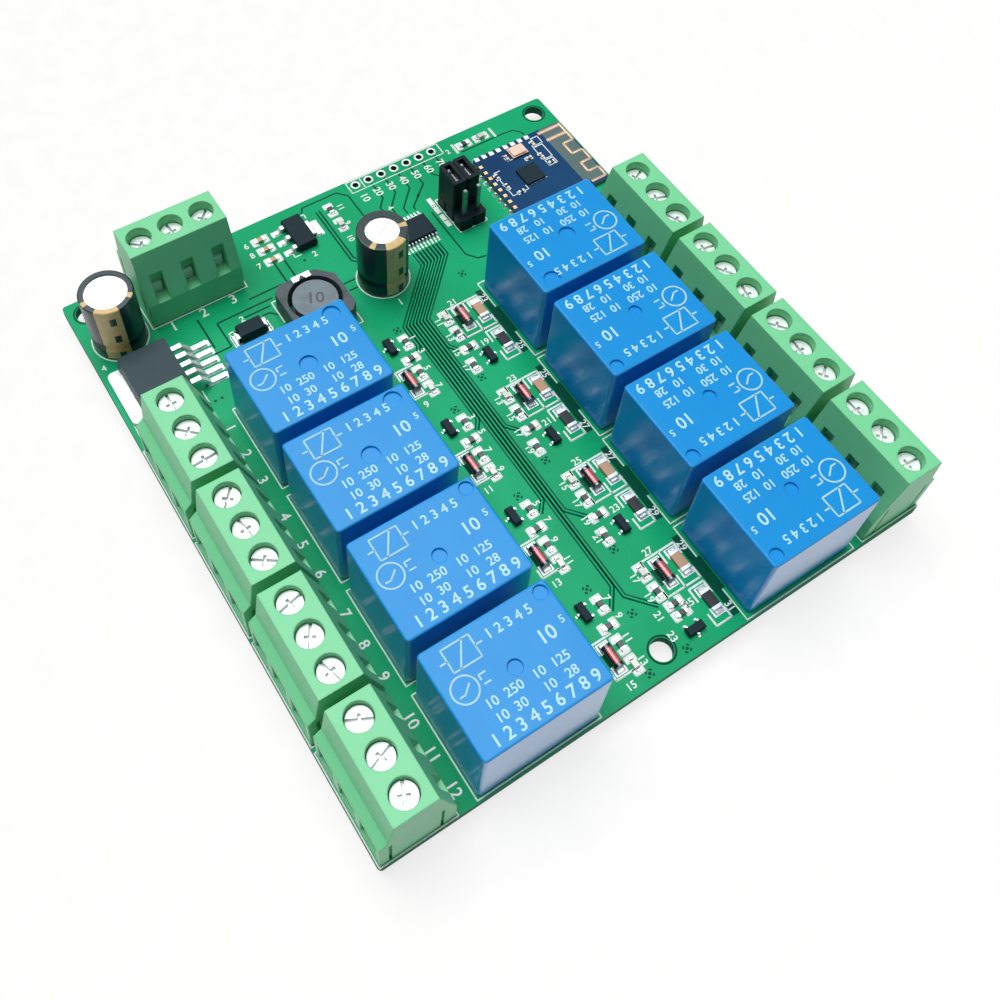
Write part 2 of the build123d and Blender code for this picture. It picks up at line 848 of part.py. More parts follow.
def inductor_clip(place):
    """Tinned clip under, beside and over the edge of the ferrite ring."""
    outside = inductor_half + inductor_clip_thickness
    lap = inductor_half - inductor_clip_lap
    clip_top = inductor_height + inductor_clip_thickness
    with BuildPart() as clip:
        with BuildSketch(section_plane(place)):
            with BuildLine():
                Polyline(
                    (lap, 0),
                    (outside, 0),
                    (outside, clip_top),
                    (lap, clip_top),
                    (lap, inductor_height),
                    (inductor_half, inductor_height),
                    (inductor_half, shield_floor),
                    (lap, shield_floor),
                    close=True,
                )
            make_face()
        extrude(amount=inductor_clip_width / 2, both=True)
        with BuildSketch(place.offset(inductor_height)):
            with BuildLine():
                Polyline(
                    (-inductor_clip_notch / 2, lap),
                    (0, inductor_half),
                    (inductor_clip_notch / 2, lap),
                    close=True,
                )
            make_face()
        extrude(amount=inductor_clip_thickness, mode=Mode.SUBTRACT)
    return clip.part


clip_turns = (0, 180)
save(group(inductor_clip(on_board(inductor_x, inductor_y, turn)) for turn in clip_turns), "inductor_clips")


def drafted_body(place, length, width, height, draft, floor):
    """Moulded package with sides that lean in towards its parting line, above and below."""
    middle = floor + height / 2
    with BuildPart() as body:
        with BuildSketch(place.offset(floor)):
            Rectangle(length - 2 * draft, width - 2 * draft)
        with BuildSketch(place.offset(middle)):
            Rectangle(length, width)
        loft()
        with BuildSketch(place.offset(middle)):
            Rectangle(length, width)
        with BuildSketch(place.offset(floor + height)):
            Rectangle(length - 2 * draft, width - 2 * draft)
        loft()
    return body.part


def bent_lead(place, y, width, thickness, level, reaches):
    """Lead along the place's X: level out of its body, sloping down, then flat on its pad."""
    start, shoulder, foot, end = reaches
    half = thickness / 2
    with BuildPart() as lead:
        with BuildSketch(side_plane(place).offset(-y)):
            with BuildLine():
                Polyline(
                    (start, level - half),
                    (shoulder, level - half),
                    (foot, 0),
                    (end, 0),
                    (end, thickness),
                    (foot + thickness, thickness),
                    (shoulder + thickness, level + half),
                    (start, level + half),
                    close=True,
                )
            make_face()
        extrude(amount=width / 2, both=True)
    return lead.part


def moulded_round(shell, leads):
    """Package moulded round its leads: the shell less the room that they take up."""
    with BuildPart() as body:
        add(shell)
        add(leads, mode=Mode.SUBTRACT)
    return body.part


# Power regulator: moulded body on a thick tab, with five leads towards the east
regulator = on_board(regulator_x, regulator_y)
regulator_half = regulator_length / 2
regulator_reaches = (
    regulator_half - regulator_lead_bite,
    regulator_half + regulator_shoulder,
    regulator_half + regulator_foot,
    regulator_half + regulator_lead_reach,
)

with BuildPart() as regulator_tab:
    with BuildSketch(regulator) as tab_outline:
        with Locations((-regulator_half, 0)):
            Rectangle(regulator_tab_reach, regulator_width, align=(Align.MAX, Align.CENTER))
        fillet(tab_outline.vertices().sort_by(Axis.X)[:2], radius=regulator_tab_corner)
        with Locations((-regulator_half, 0)):
            Rectangle(regulator_tab_inside, regulator_tab_neck, align=(Align.MIN, Align.CENTER))
    extrude(amount=regulator_tab_thickness)

middle_lead = (regulator_lead_count - 1) / 2
regulator_leads = [
    bent_lead(
        regulator,
        regulator_lead_pitch * (index - middle_lead),
        regulator_lead_width,
        regulator_lead_thickness,
        regulator_lead_level,
        regulator_reaches,
    )
    for index in range(regulator_lead_count)
]
regulator_frame = [regulator_tab.part] + regulator_leads
regulator_shell = drafted_body(regulator, regulator_length, regulator_width, regulator_height, regulator_draft, 0)
save(moulded_round(regulator_shell, regulator_frame), "regulator_body")
save(group(regulator_frame), "regulator_lead_frame")

# Small regulator: three legs towards the west, a broad one towards the east
small_regulator = on_board(small_regulator_x, small_regulator_y)
small_regulator_turned = on_board(small_regulator_x, small_regulator_y, 180)
small_regulator_half = small_regulator_length / 2
small_regulator_reaches = (
    small_regulator_half - small_regulator_lead_bite,
    small_regulator_half + small_regulator_shoulder,
    small_regulator_half + small_regulator_foot,
    small_regulator_half + small_regulator_lead_reach,
)


def small_regulator_leg(place, y, width):
    """One flat leg of the small regulator."""
    return bent_lead(
        place, y, width, small_regulator_lead_thickness, small_regulator_lead_level, small_regulator_reaches
    )


small_regulator_frame = [small_regulator_leg(small_regulator, 0, small_regulator_tab_width)] + [
    small_regulator_leg(small_regulator_turned, small_regulator_lead_pitch * side, small_regulator_lead_width)
    for side in (-1, 0, 1)
]
small_regulator_shell = drafted_body(
    small_regulator,
    small_regulator_length,
    small_regulator_width,
    small_regulator_height,
    small_regulator_draft,
    small_regulator_standoff,
)
save(moulded_round(small_regulator_shell, small_regulator_frame), "small_regulator_body")
save(group(small_regulator_frame), "small_regulator_lead_frame")


def wrapped_lead(place):
    """Flat lead of the power diode: out of the end, down and back underneath."""
    outside = power_diode_length / 2 + power_diode_lead_reach
    inside = power_diode_length / 2 - power_diode_lead_foot
    bite = power_diode_length / 2 - power_diode_lead_bite
    thickness = power_diode_lead_thickness
    half = thickness / 2
    with BuildPart() as lead:
        with BuildSketch(side_plane(place)):
            with BuildLine():
                Polyline(
                    (bite, power_diode_lead_level + half),
                    (outside, power_diode_lead_level + half),
                    (outside, 0),
                    (inside, 0),
                    (inside, thickness),
                    (outside - thickness, thickness),
                    (outside - thickness, power_diode_lead_level - half),
                    (bite, power_diode_lead_level - half),
                    close=True,
                )
            make_face()
        extrude(amount=power_diode_lead_width / 2, both=True)
    return lead.part


# Power diode: one moulded body with a wrapped lead at each end
power_diode = on_board(power_diode_x, power_diode_y)
power_diode_leads = [wrapped_lead(on_board(power_diode_x, power_diode_y, turn)) for turn in (0, 180)]
power_diode_shell = drafted_body(
    power_diode,
    power_diode_length,
    power_diode_width,
    power_diode_height - power_diode_lead_thickness,
    power_diode_draft,
    power_diode_lead_thickness,
)
save(group([moulded_round(power_diode_shell, power_diode_leads)] + power_diode_leads), "power_diode")

# Controller chip: a flat body with a row of fine leads along its north and its south side
controller = on_board(controller_x, controller_y)
controller_half = controller_width / 2
controller_level = controller_standoff + controller_height / 2
controller_reaches = (
    controller_half - controller_lead_bite,
    controller_half + controller_shoulder,
    controller_half + controller_foot,
    controller_half + controller_lead_reach,
)
controller_frame = [
    bent_lead(
        on_board(controller_x, controller_y, turn),
        controller_lead_pitch * (index - (controller_leads_per_side - 1) / 2),
        controller_lead_width,
        controller_lead_thickness,
        controller_level,
        controller_reaches,
    )
    for turn in (90, -90)
    for index in range(controller_leads_per_side)
]
controller_shell = drafted_body(
    controller, controller_length, controller_width, controller_height, controller_draft, controller_standoff
)
save(moulded_round(controller_shell, controller_frame), "controller_body")
save(group(controller_frame), "controller_leads")

# Jumper header: base with a notch between neighbouring pins
header = on_board(header_x, header_y)
header_half = header_pitch / 2
header_flat = header_half - header_base_corner
header_cell = [
    (header_flat, header_half),
    (header_half, header_flat),
    (header_half, -header_flat),
    (header_flat, -header_half),
    (-header_flat, -header_half),
    (-header_half, -header_flat),
    (-header_half, header_flat),
    (-header_flat, header_half),
]

with BuildPart() as header_base:
    with BuildSketch(header):
        with GridLocations(header_pitch, header_pitch, header_columns, header_rows):
            Polygon(*header_cell)
        Rectangle(header_pitch * (header_columns - 1), header_pitch * (header_rows - 1))
        with GridLocations(header_pitch, header_pitch, header_columns, header_rows):
            Rectangle(header_pin_width, header_pin_width, mode=Mode.SUBTRACT)
    extrude(amount=header_base_height)
save(header_base.part, "header_base")

with BuildPart() as header_pins:
    with BuildSketch(header.offset(pin_tip)):
        with GridLocations(header_pitch, header_pitch, header_columns, header_rows):
            Rectangle(header_pin_width, header_pin_width)
    extrude(amount=header_pin_top - pin_tip)
    chamfer(header_pins.faces().filter_by(Axis.Z).group_by(Axis.Z)[-1].edges(), length=header_pin_taper)
save(header_pins.part, "header_pins")

# Jumper cap: plastic shroud round a spring clip that joins two neighbouring pins
clip_bore = header_pin_width + 2 * jumper_clip_clearance
clip_outside = clip_bore + 2 * jumper_clip_wall
cavity = clip_outside + 2 * jumper_seat_clearance
jumper_floor = header_base_height + jumper_lift
clip_floor = jumper_floor + jumper_clip_inset


def jumper_cap(place):
    """Shroud open above and below, with its clip."""
    with BuildPart() as shroud:
        with BuildSketch(place.offset(jumper_floor)):
            Rectangle(jumper_width, jumper_length)
        extrude(amount=jumper_height)
        chamfer(shroud.edges().filter_by(Axis.Z), length=jumper_edge)
        with BuildSketch(place.offset(jumper_floor)):
            Rectangle(cavity, cavity + header_pitch)
        extrude(amount=jumper_height, mode=Mode.SUBTRACT)
    with BuildPart() as clip:
        with BuildSketch(place.offset(clip_floor)):
            Rectangle(clip_outside, clip_outside + header_pitch)
            Rectangle(clip_bore, clip_bore + header_pitch, mode=Mode.SUBTRACT)
        extrude(amount=jumper_clip_height)
    return group([shroud.part, clip.part])


jumper_y = header_y + header_pitch * (header_rows - 2) / 2
for number, side in enumerate((-1, 1), start=1):
    save(jumper_cap(on_board(header_x + side * header_pitch / 2, jumper_y)), f"jumper_cap_{number}")

# Radio board: half holes along two edges, soldered flat on the main board
radio = on_board(radio_x, radio_y)
north_half_holes = [
    (north_castellation_start + castellation_pitch * index, radio_width) for index in range(north_castellations)
]
west_half_holes = [(0, west_castellation_start + castellation_pitch * index) for index in range(west_castellations)]

with BuildPart() as radio_board:
    with BuildSketch(radio):
        with Locations((radio_length / 2, radio_width / 2)):
            RectangleRounded(radio_length, radio_width, radio_corner_radius)
        with Locations(*north_half_holes, *west_half_holes):
            Circle(castellation_radius, mode=Mode.SUBTRACT)
    extrude(amount=radio_thickness)
save(radio_board.part, "radio_board")

with BuildPart() as radio_chip:
    with BuildSketch(on_board(radio_chip_x, radio_chip_y, height=radio_thickness)):
        Rectangle(radio_chip_size, radio_chip_size)
    extrude(amount=radio_chip_height)
save(radio_chip.part, "radio_chip")

with BuildPart() as radio_crystal:
    crystal = on_board(crystal_x, crystal_y, height=radio_thickness)
    with BuildSketch(crystal):
        Rectangle(crystal_length, crystal_width)
    extrude(amount=crystal_base_height)
    with BuildSketch(crystal.offset(crystal_base_height)):
        RectangleRounded(crystal_length - 2 * crystal_edge, crystal_width - 2 * crystal_edge, crystal_edge)
    extrude(amount=crystal_height - crystal_base_height)
save(radio_crystal.part, "radio_crystal")


def chip(place, size):
    """Ceramic block between two metal ends that stand slightly proud."""
    length, width, height, metal_end = size
    with BuildPart() as block:
        with BuildSketch(place):
            with GridLocations(length - metal_end, 1, 2, 1):
                Rectangle(metal_end, width)
        extrude(amount=height)
        with BuildSketch(place.offset(chip_end_swell)):
            Rectangle(length - 2 * metal_end, width - 2 * chip_end_swell)
        extrude(amount=height - 2 * chip_end_swell)
    return block.part


def indicator(place):
    """Flat lamp: a pale base with a clear block moulded on it."""
    length, width = medium_chip[:2]
    with BuildPart() as lamp:
        with BuildSketch(place):
            Rectangle(length, width)
        extrude(amount=led_base_height)
        with BuildSketch(place.offset(led_base_height)):
            Rectangle(led_lens_length, width)
        extrude(amount=led_lens_height)
    return lamp.part


def transistor(place):
    """Small transistor: two leads towards the place's X, one lead away from it."""
    half = transistor_width / 2
    reaches = (
        half - transistor_lead_bite,
        half + transistor_shoulder,
        half + transistor_foot,
        half + transistor_lead_reach,
    )
    behind = Plane(place.location * Location((0, 0, 0), (0, 0, 180)))
    spots = [(place, -transistor_lead_pitch / 2), (place, transistor_lead_pitch / 2), (behind, 0)]
    leads = [
        bent_lead(spot, y, transistor_lead_width, transistor_lead_thickness, transistor_lead_level, reaches)
        for spot, y in spots
    ]
    shell = drafted_body(
        place, transistor_width, transistor_length, transistor_height, transistor_draft, transistor_standoff
    )
    return [moulded_round(shell, leads)] + leads


def glass_diode(place):
    """Glass cylinder between two metal end caps, lying along the place's Y."""
    middle = Plane(origin=place.offset(diode_cap_radius).origin, x_dir=place.x_dir, z_dir=place.y_dir)
    with BuildPart() as diode:
        with BuildSketch(middle):
            Circle(diode_radius)
        extrude(amount=diode_length / 2, both=True)
        for end in (-1, 1):
            with BuildSketch(middle.offset(end * (diode_length / 2 - diode_cap_length))):
                Circle(diode_cap_radius)
            extrude(amount=end * diode_cap_length)
    return diode.part


def each_channel(spots, channels):
    """Places of a first channel's parts, repeated southwards at the relays' pitch."""
    return [on_board(x, y - relay_pitch * row, turn) for row in channels for x, y, turn in spots]


# Small parts of the driver channels; the last channel on the east side is laid out differently
all_channels = range(relay_count)
upper_channels = range(relay_count - 1)
resistor_places = (
    each_channel(west_resistors, all_channels)
    + each_channel(east_resistors, upper_channels)
    + [on_board(*spot) for spot in last_resistors + single_resistors]
)
large_resistor_places = each_channel(east_large_resistors, all_channels)
transistor_places = (
    each_channel(west_transistors, all_channels)
    + each_channel(east_transistors, upper_channels)
    + [on_board(*spot) for spot in last_transistors]
)
diode_places = (
    each_channel(west_diodes, all_channels)
    + each_channel(east_diodes, upper_channels)
    + [on_board(*spot) for spot in last_diodes]
)
led_places = (
    each_channel(west_leds, all_channels)
    + each_channel(east_leds, all_channels)
    + [on_board(*spot) for spot in single_leds]
)
radio_resistor_places = [on_board(*spot, height=radio_thickness) for spot in radio_resistors]
radio_capacitor_places = [on_board(*spot, height=radio_thickness) for spot in radio_capacitors]

save(group(solid for place in transistor_places for solid in transistor(place)), "transistors")
save(group(glass_diode(place) for place in diode_places), "glass_diodes")
save(group(indicator(place) for place in led_places), "indicator_leds")
save(
    group(
        [chip(place, medium_chip) for place in resistor_places]
        + [chip(place, large_chip) for place in large_resistor_places]
        + [chip(place, small_chip) for place in radio_resistor_places]
    ),
    "chip_resistors",
)
save(
    group(
        [chip(on_board(*spot), medium_chip) for spot in single_capacitors]
        + [chip(place, large_chip) for place in each_channel(east_large_capacitors, all_channels)]
        + [chip(place, small_chip) for place in radio_capacitor_places]
    ),
    "chip_capacitors",
)

# Printed circuit board with the holes of everything that goes through it
mounting_holes = [
    (mounting_hole_inset, board_depth - mounting_hole_inset),
    (board_width - mounting_hole_inset, board_depth - mounting_hole_inset),
    (south_hole_x, south_hole_y),
]
program_holes = [(program_first_x + header_pitch * index, program_row_y) for index in range(program_hole_count)]

with BuildPart() as circuit_board:
    with BuildSketch(board_face):
        with Locations((board_width / 2, board_depth / 2)):
            RectangleRounded(board_width, board_depth, board_corner_radius)
        with Locations(*mounting_holes):
            Circle(mounting_hole_radius, mode=Mode.SUBTRACT)
        with Locations(*program_holes):
            Circle(program_hole_radius, mode=Mode.SUBTRACT)
        with Locations((header_x, header_y)):
            with GridLocations(header_pitch, header_pitch, header_columns, header_rows):
                Circle(header_hole_radius, mode=Mode.SUBTRACT)
        with Locations(*capacitor_places):
            with GridLocations(capacitor_lead_pitch, 1, 2, 1):
                Circle(capacitor_hole_radius, mode=Mode.SUBTRACT)
    extrude(amount=-board_thickness)
    for place in relays:
        with BuildSketch(place):
            with Locations((common_pin_x, 0), (contact_x, contact_pin_y), (contact_x, -contact_pin_y)):
                Circle(relay_pin_hole_radius)
            with Locations((coil_pin_x, coil_pin_y), (coil_pin_x, -coil_pin_y)):
                Circle(coil_pin_hole_radius)
        extrude(amount=-board_thickness, mode=Mode.SUBTRACT)
    for place in terminals:
        with BuildSketch(place):
            with Locations(*[(offset, leg_y) for offset in way_offsets]):
                Circle(terminal_pin_hole_radius)
        extrude(amount=-board_thickness, mode=Mode.SUBTRACT)
save(circuit_board.part, "circuit_board")
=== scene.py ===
"""Looks of an eight-channel relay module board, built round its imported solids.

Places along the board are in millimetres from the south-west corner of its upper face,
with x to the east, y to the north and z upwards. What goes into Blender is in metres.
"""

import logging
import math
from collections.abc import Callable, Iterable, Mapping, Sequence
from dataclasses import dataclass, field, replace
from enum import Enum
from functools import cache
from typing import Union

import bmesh
import bpy
from mathutils import Matrix, Vector


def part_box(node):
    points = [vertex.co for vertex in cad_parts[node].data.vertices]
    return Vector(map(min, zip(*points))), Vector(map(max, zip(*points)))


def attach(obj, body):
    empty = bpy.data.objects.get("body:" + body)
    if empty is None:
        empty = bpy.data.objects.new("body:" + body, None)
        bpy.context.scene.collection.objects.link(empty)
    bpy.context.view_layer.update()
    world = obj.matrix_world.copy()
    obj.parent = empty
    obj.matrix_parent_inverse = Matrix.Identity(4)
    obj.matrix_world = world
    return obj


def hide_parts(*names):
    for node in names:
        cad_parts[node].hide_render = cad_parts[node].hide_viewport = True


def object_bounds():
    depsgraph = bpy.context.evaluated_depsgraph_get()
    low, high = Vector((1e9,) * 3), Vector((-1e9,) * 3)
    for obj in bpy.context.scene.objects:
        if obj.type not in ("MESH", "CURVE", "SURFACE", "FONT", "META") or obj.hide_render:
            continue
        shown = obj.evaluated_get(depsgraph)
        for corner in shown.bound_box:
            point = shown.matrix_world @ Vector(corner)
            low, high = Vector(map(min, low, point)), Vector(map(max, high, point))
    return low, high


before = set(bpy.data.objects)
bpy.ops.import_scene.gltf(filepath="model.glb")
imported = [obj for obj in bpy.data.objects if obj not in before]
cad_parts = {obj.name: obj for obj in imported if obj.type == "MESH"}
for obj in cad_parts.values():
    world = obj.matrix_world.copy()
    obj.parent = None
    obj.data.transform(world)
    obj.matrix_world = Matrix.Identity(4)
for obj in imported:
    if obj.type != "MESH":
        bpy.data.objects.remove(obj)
cad_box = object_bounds()

log = logging.getLogger("relay_board")

MM = 0.001

Point = tuple[float, float]
Route = Sequence[Point]
Colour = tuple[float, float, float, float]
Value = Union["Signal", float, Sequence[float], bpy.types.NodeSocket]


def paint(red: int, green: int, blue: int) -> Colour:
    """Colour as a paint chart gives it, from 0 to 255, turned into linear light."""
    shares = [channel / 255 for channel in (red, green, blue)]
    linear = [share / 12.92 if share <= 0.04045 else ((share + 0.055) / 1.055) ** 2.4 for share in shares]
    return (linear[0], linear[1], linear[2], 1.0)


# Places on the board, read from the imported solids

BOARD_LOW, BOARD_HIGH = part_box("circuit_board")
CORNER = Vector((BOARD_LOW.x, BOARD_LOW.y, BOARD_HIGH.z))
BOARD_WIDTH = (BOARD_HIGH.x - BOARD_LOW.x) / MM
BOARD_DEPTH = (BOARD_HIGH.y - BOARD_LOW.y) / MM
BOARD_THICKNESS = (BOARD_HIGH.z - BOARD_LOW.z) / MM
RELAYS = range(1, 9)
WEST_RELAYS = range(1, 5)
EAST_RELAYS = range(5, 9)
TERMINALS = range(1, 10)
FOOT_DEPTH = 0.01
WELD_DISTANCE = 0.0005

# Driver channels repeat southwards. The programming holes lie in a row: first x, y, pitch and number.
CHANNEL_PITCH = 16.95
CHANNEL_ROWS = range(4)
PROGRAM_ROW = (52.25, 95.85, 2.54, 7)


def spot(x: float, y: float, z: float = 0.0) -> Vector:
    """Point in the frame, in metres, of a place on the board in millimetres."""
    return CORNER + Vector((x, y, z)) * MM


def place(point: Vector) -> Vector:
    """Place on the board, in millimetres, of a point in the frame."""
    return (point - CORNER) / MM


@dataclass(frozen=True)
class Extent:
    """Box of a piece, in millimetres on the board."""

    low: Vector
    high: Vector

    @property
    def middle(self) -> Vector:
        """Middle of the box."""
        return (self.low + self.high) / 2

    @property
    def size(self) -> Vector:
        """Length of the box along each axis."""
        return self.high - self.low


def extent(node: str) -> Extent:
    """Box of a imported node, in millimetres on the board.

    Args:
        node: Name of the node.

    Returns:
        The node's box.
    """
    low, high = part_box(node)
    return Extent(place(low), place(high))


@dataclass(frozen=True)
class Island(Extent):
    """One loose solid of a node, with the middle of its lowest face."""

    foot: Vector
    faces: tuple[int, ...] = ()


def merged(node: str) -> bmesh.types.BMesh:
    """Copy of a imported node's mesh with its doubled points merged.

    Args:
        node: Name of the node.

    Returns:
        A new mesh, which the caller frees.
    """
    shape = bmesh.new()
    shape.from_mesh(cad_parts[node].data)
    bmesh.ops.remove_doubles(shape, verts=shape.verts, dist=WELD_DISTANCE * MM)
    shape.faces.ensure_lookup_table()
    return shape


def islands_of(shape: bmesh.types.BMesh) -> list[Island]:
    """Loose solids of a merged mesh, from north to south and then from west to east.

    Args:
        shape: Mesh with its doubles merged.

    Returns:
        One island for each solid.
    """
    seen: set[int] = set()
    found = []
    for face in shape.faces:
        if face.index in seen:
            continue
        seen.add(face.index)
        group = [face]
        for member in group:
            for edge in member.edges:
                for other in edge.link_faces:
                    if other.index not in seen:
                        seen.add(other.index)
                        group.append(other)
        points = [place(vertex.co) for member in group for vertex in member.verts]
        low = Vector(min(point[axis] for point in points) for axis in range(3))
        high = Vector(max(point[axis] for point in points) for axis in range(3))
        feet = [point for point in points if point.z < low.z + FOOT_DEPTH]
        foot = (Vector(map(min, *feet)) + Vector(map(max, *feet))) / 2
        found.append(Island(low, high, foot, tuple(member.index for member in group)))
    return sorted(found, key=lambda island: (-round(island.middle.y, 1), island.middle.x))


def islands(node: str) -> list[Island]:
    """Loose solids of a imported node.

    Args:
        node: Name of the node.

    Returns:
        One island for each solid.
    """
    shape = merged(node)
    found = islands_of(shape)
    shape.free()
    return found


# Node sheets


class Signal:
    """A number in a node sheet, with arithmetic that adds Math nodes."""

    def __init__(self, sheet: "NodeSheet", socket: bpy.types.NodeSocket) -> None:
        """Keep the sheet and the socket that gives the number."""
        self.sheet = sheet
        self.socket = socket

    def _math(self, operation: str, *values: Value) -> "Signal":
        """Result of one Math node on the given values."""
        node = self.sheet.add("ShaderNodeMath", {"operation": operation}, dict(enumerate(values)))
        return Signal(self.sheet, node.outputs[0])

    def __add__(self, other: Value) -> "Signal":
        """Sum."""
        return self._math("ADD", self, other)

    __radd__ = __add__

    def __sub__(self, other: Value) -> "Signal":
        """Difference."""
        return self._math("SUBTRACT", self, other)

    def __rsub__(self, other: Value) -> "Signal":
        """Difference from a plain number."""
        return self._math("SUBTRACT", other, self)

    def __mul__(self, other: Value) -> "Signal":
        """Product."""
        return self._math("MULTIPLY", self, other)

    __rmul__ = __mul__

    def __truediv__(self, other: Value) -> "Signal":
        """Quotient."""
        return self._math("DIVIDE", self, other)

    def __rtruediv__(self, other: Value) -> "Signal":
        """Quotient of a plain number by this one."""
        return self._math("DIVIDE", other, self)

    def __pow__(self, other: Value) -> "Signal":
        """Power."""
        return self._math("POWER", self, other)

    def above(self, edge: Value) -> "Signal":
        """1 where this is above the edge, else 0."""
        return self._math("GREATER_THAN", self, edge)

    def below(self, edge: Value) -> "Signal":
        """1 where this is below the edge, else 0."""
        return self._math("LESS_THAN", self, edge)

    def size(self) -> "Signal":
        """This number without its sign."""
        return self._math("ABSOLUTE", self)

    def sine(self) -> "Signal":
        """Sine of this angle in radians."""
        return self._math("SINE", self)

    def most(self, other: Value) -> "Signal":
        """The larger of the two."""
        return self._math("MAXIMUM", self, other)

    def ramp(self, low: float, high: float) -> "Signal":
        """Smooth rise from 0 at low to 1 at high."""
        settings = {"interpolation_type": "SMOOTHSTEP"}
        node = self.sheet.add("ShaderNodeMapRange", settings, {0: self, 1: low, 2: high})
        return Signal(self.sheet, node.outputs[0])


class NodeSheet:
    """A tree of nodes, filled through one method."""

    def __init__(self, tree: bpy.types.NodeTree) -> None:
        """Keep the tree."""
        self.tree = tree

    def add(
        self,
        kind: str,
        settings: Mapping[str, object] | None = None,
        sockets: Mapping[str | int, Value] | None = None,
    ) -> bpy.types.Node:
        """Add a node.

        Args:
            kind: Type of the node.
            settings: Its properties, which are set first.
            sockets: What goes into its sockets, by name or number: a signal, a socket or a plain value.

        Returns:
            The new node.
        """
        node = self.tree.nodes.new(kind)
        for name, value in (settings or {}).items():
            setattr(node, name, value)
        for name, value in (sockets or {}).items():
            self.feed(node.inputs[name], value)
        return node

    def feed(self, socket: bpy.types.NodeSocket, value: Value) -> None:
        """Link a socket, or set it.

        Args:
            socket: The socket.
            value: A signal or another socket to link it to, or a plain value.
        """
        if isinstance(value, Signal):
            self.tree.links.new(value.socket, socket)
        elif isinstance(value, bpy.types.NodeSocket):
            self.tree.links.new(value, socket)
        else:
            socket.default_value = value


class Sheet(NodeSheet):
    """One material's node sheet, with the moves that the finishes are made of."""

    def __init__(self, name: str) -> None:
        """Start an empty material.

        Args:
            name: Its name.
        """
        self.material = bpy.data.materials.new(name)
        self.material.use_nodes = True
        super().__init__(self.material.node_tree)
        self.tree.nodes.clear()
        self.coordinates = self.add("ShaderNodeTexCoord").outputs["Object"]

    def axes(self) -> tuple[Signal, Signal, Signal]:
        """Object coordinates along x, y and z, in metres."""
        node = self.add("ShaderNodeSeparateXYZ", {}, {0: self.coordinates})
        return tuple(Signal(self, output) for output in node.outputs)

    def facing(self) -> tuple[Signal, Signal, Signal]:
        """Parts of the surface's outward direction along x, y and z."""
        normal = self.add("ShaderNodeNewGeometry").outputs["Normal"]
        node = self.add("ShaderNodeSeparateXYZ", {}, {0: normal})
        return tuple(Signal(self, output) for output in node.outputs)

    def noise(self, grain: float, detail: float = 2.0, stretch: Sequence[float] = (1, 1, 1)) -> Signal:
        """Cloudy pattern fixed to the object.

        Args:
            grain: Size of its features in millimetres.
            detail: How many finer layers it has.
            stretch: How dense it is along x, y and z.

        Returns:
            A signal from 0 to 1.
        """
        mapping = self.add("ShaderNodeMapping", {}, {"Vector": self.coordinates, "Scale": stretch})
        sockets = {"Vector": mapping.outputs[0], "Scale": 1 / (grain * MM), "Detail": detail}
        return Signal(self, self.add("ShaderNodeTexNoise", {}, sockets).outputs["Fac"])

    def blend(self, first: Value, second: Value, share: Value) -> bpy.types.NodeSocket:
        """Colour between two colours.

        Args:
            first: Colour where the share is 0.
            second: Colour where the share is 1.
            share: Share of the second colour.

        Returns:
            The mixed colour's socket.
        """
        sockets = {0: share, 6: first, 7: second}
        return self.add("ShaderNodeMix", {"data_type": "RGBA", "clamp_factor": True}, sockets).outputs[2]

    def bump(self, height: Signal, depth: float, normal: Value | None = None) -> bpy.types.NodeSocket:
        """Surface direction disturbed by a height.

        Args:
            height: Height from 0 to 1.
            depth: What a height of 1 is, in millimetres.
            normal: Surface direction that is disturbed, or none for the plain one.

        Returns:
            The direction's socket.
        """
        sockets = {"Height": height, "Distance": depth * MM}
        if normal is not None:
            sockets["Normal"] = normal
        return self.add("ShaderNodeBump", {}, sockets).outputs[0]

    def rounded(self, radius: float) -> bpy.types.NodeSocket:
        """Surface direction with edges rounded by a radius in millimetres."""
        return self.add("ShaderNodeBevel", {"samples": 4}, {"Radius": radius * MM}).outputs[0]

    def surface(self, **sockets: Value) -> bpy.types.Material:
        """Finish the material with one surface shader.

        Args:
            **sockets: The shader's sockets, with underscores for the spaces in their names.

        Returns:
            The finished material.
        """
        named = {name.replace("_", " "): value for name, value in sockets.items()}
        shader = self.add("ShaderNodeBsdfPrincipled", {}, named)
        self.add("ShaderNodeOutputMaterial", {}, {"Surface": shader.outputs[0]})
        return self.material


# Finishes


@dataclass(frozen=True)
class Moulding:
    """Moulded plastic: a drifting colour, a fine grain, softened edges and, at will, polished ends."""

    name: str
    colour: Colour
    drift: Colour
    roughness: float = 0.4
    grain: float = 0.3
    depth: float = 0.002
    edge: float = 0.08
    gloss: float = 0.5
    coat: float = 0.0
    end_coat: float = 0.0

    def make(self) -> bpy.types.Material:
        """Build the material."""
        sheet = Sheet(self.name)
        cloud = sheet.noise(6.0, 3.0)
        fine = sheet.noise(self.grain, 2.0)
        lengthways = sheet.facing()[1].size()
        return sheet.surface(
            Base_Color=sheet.blend(self.colour, self.drift, cloud),
            Roughness=self.roughness + (fine - 0.5) * 0.12,
            Normal=sheet.bump(fine, self.depth, sheet.rounded(self.edge)),
            Specular_IOR_Level=self.gloss,
            Coat_Weight=lengthways * self.end_coat + self.coat,
            Coat_Roughness=0.3,
            Coat_IOR=1.7,
        )


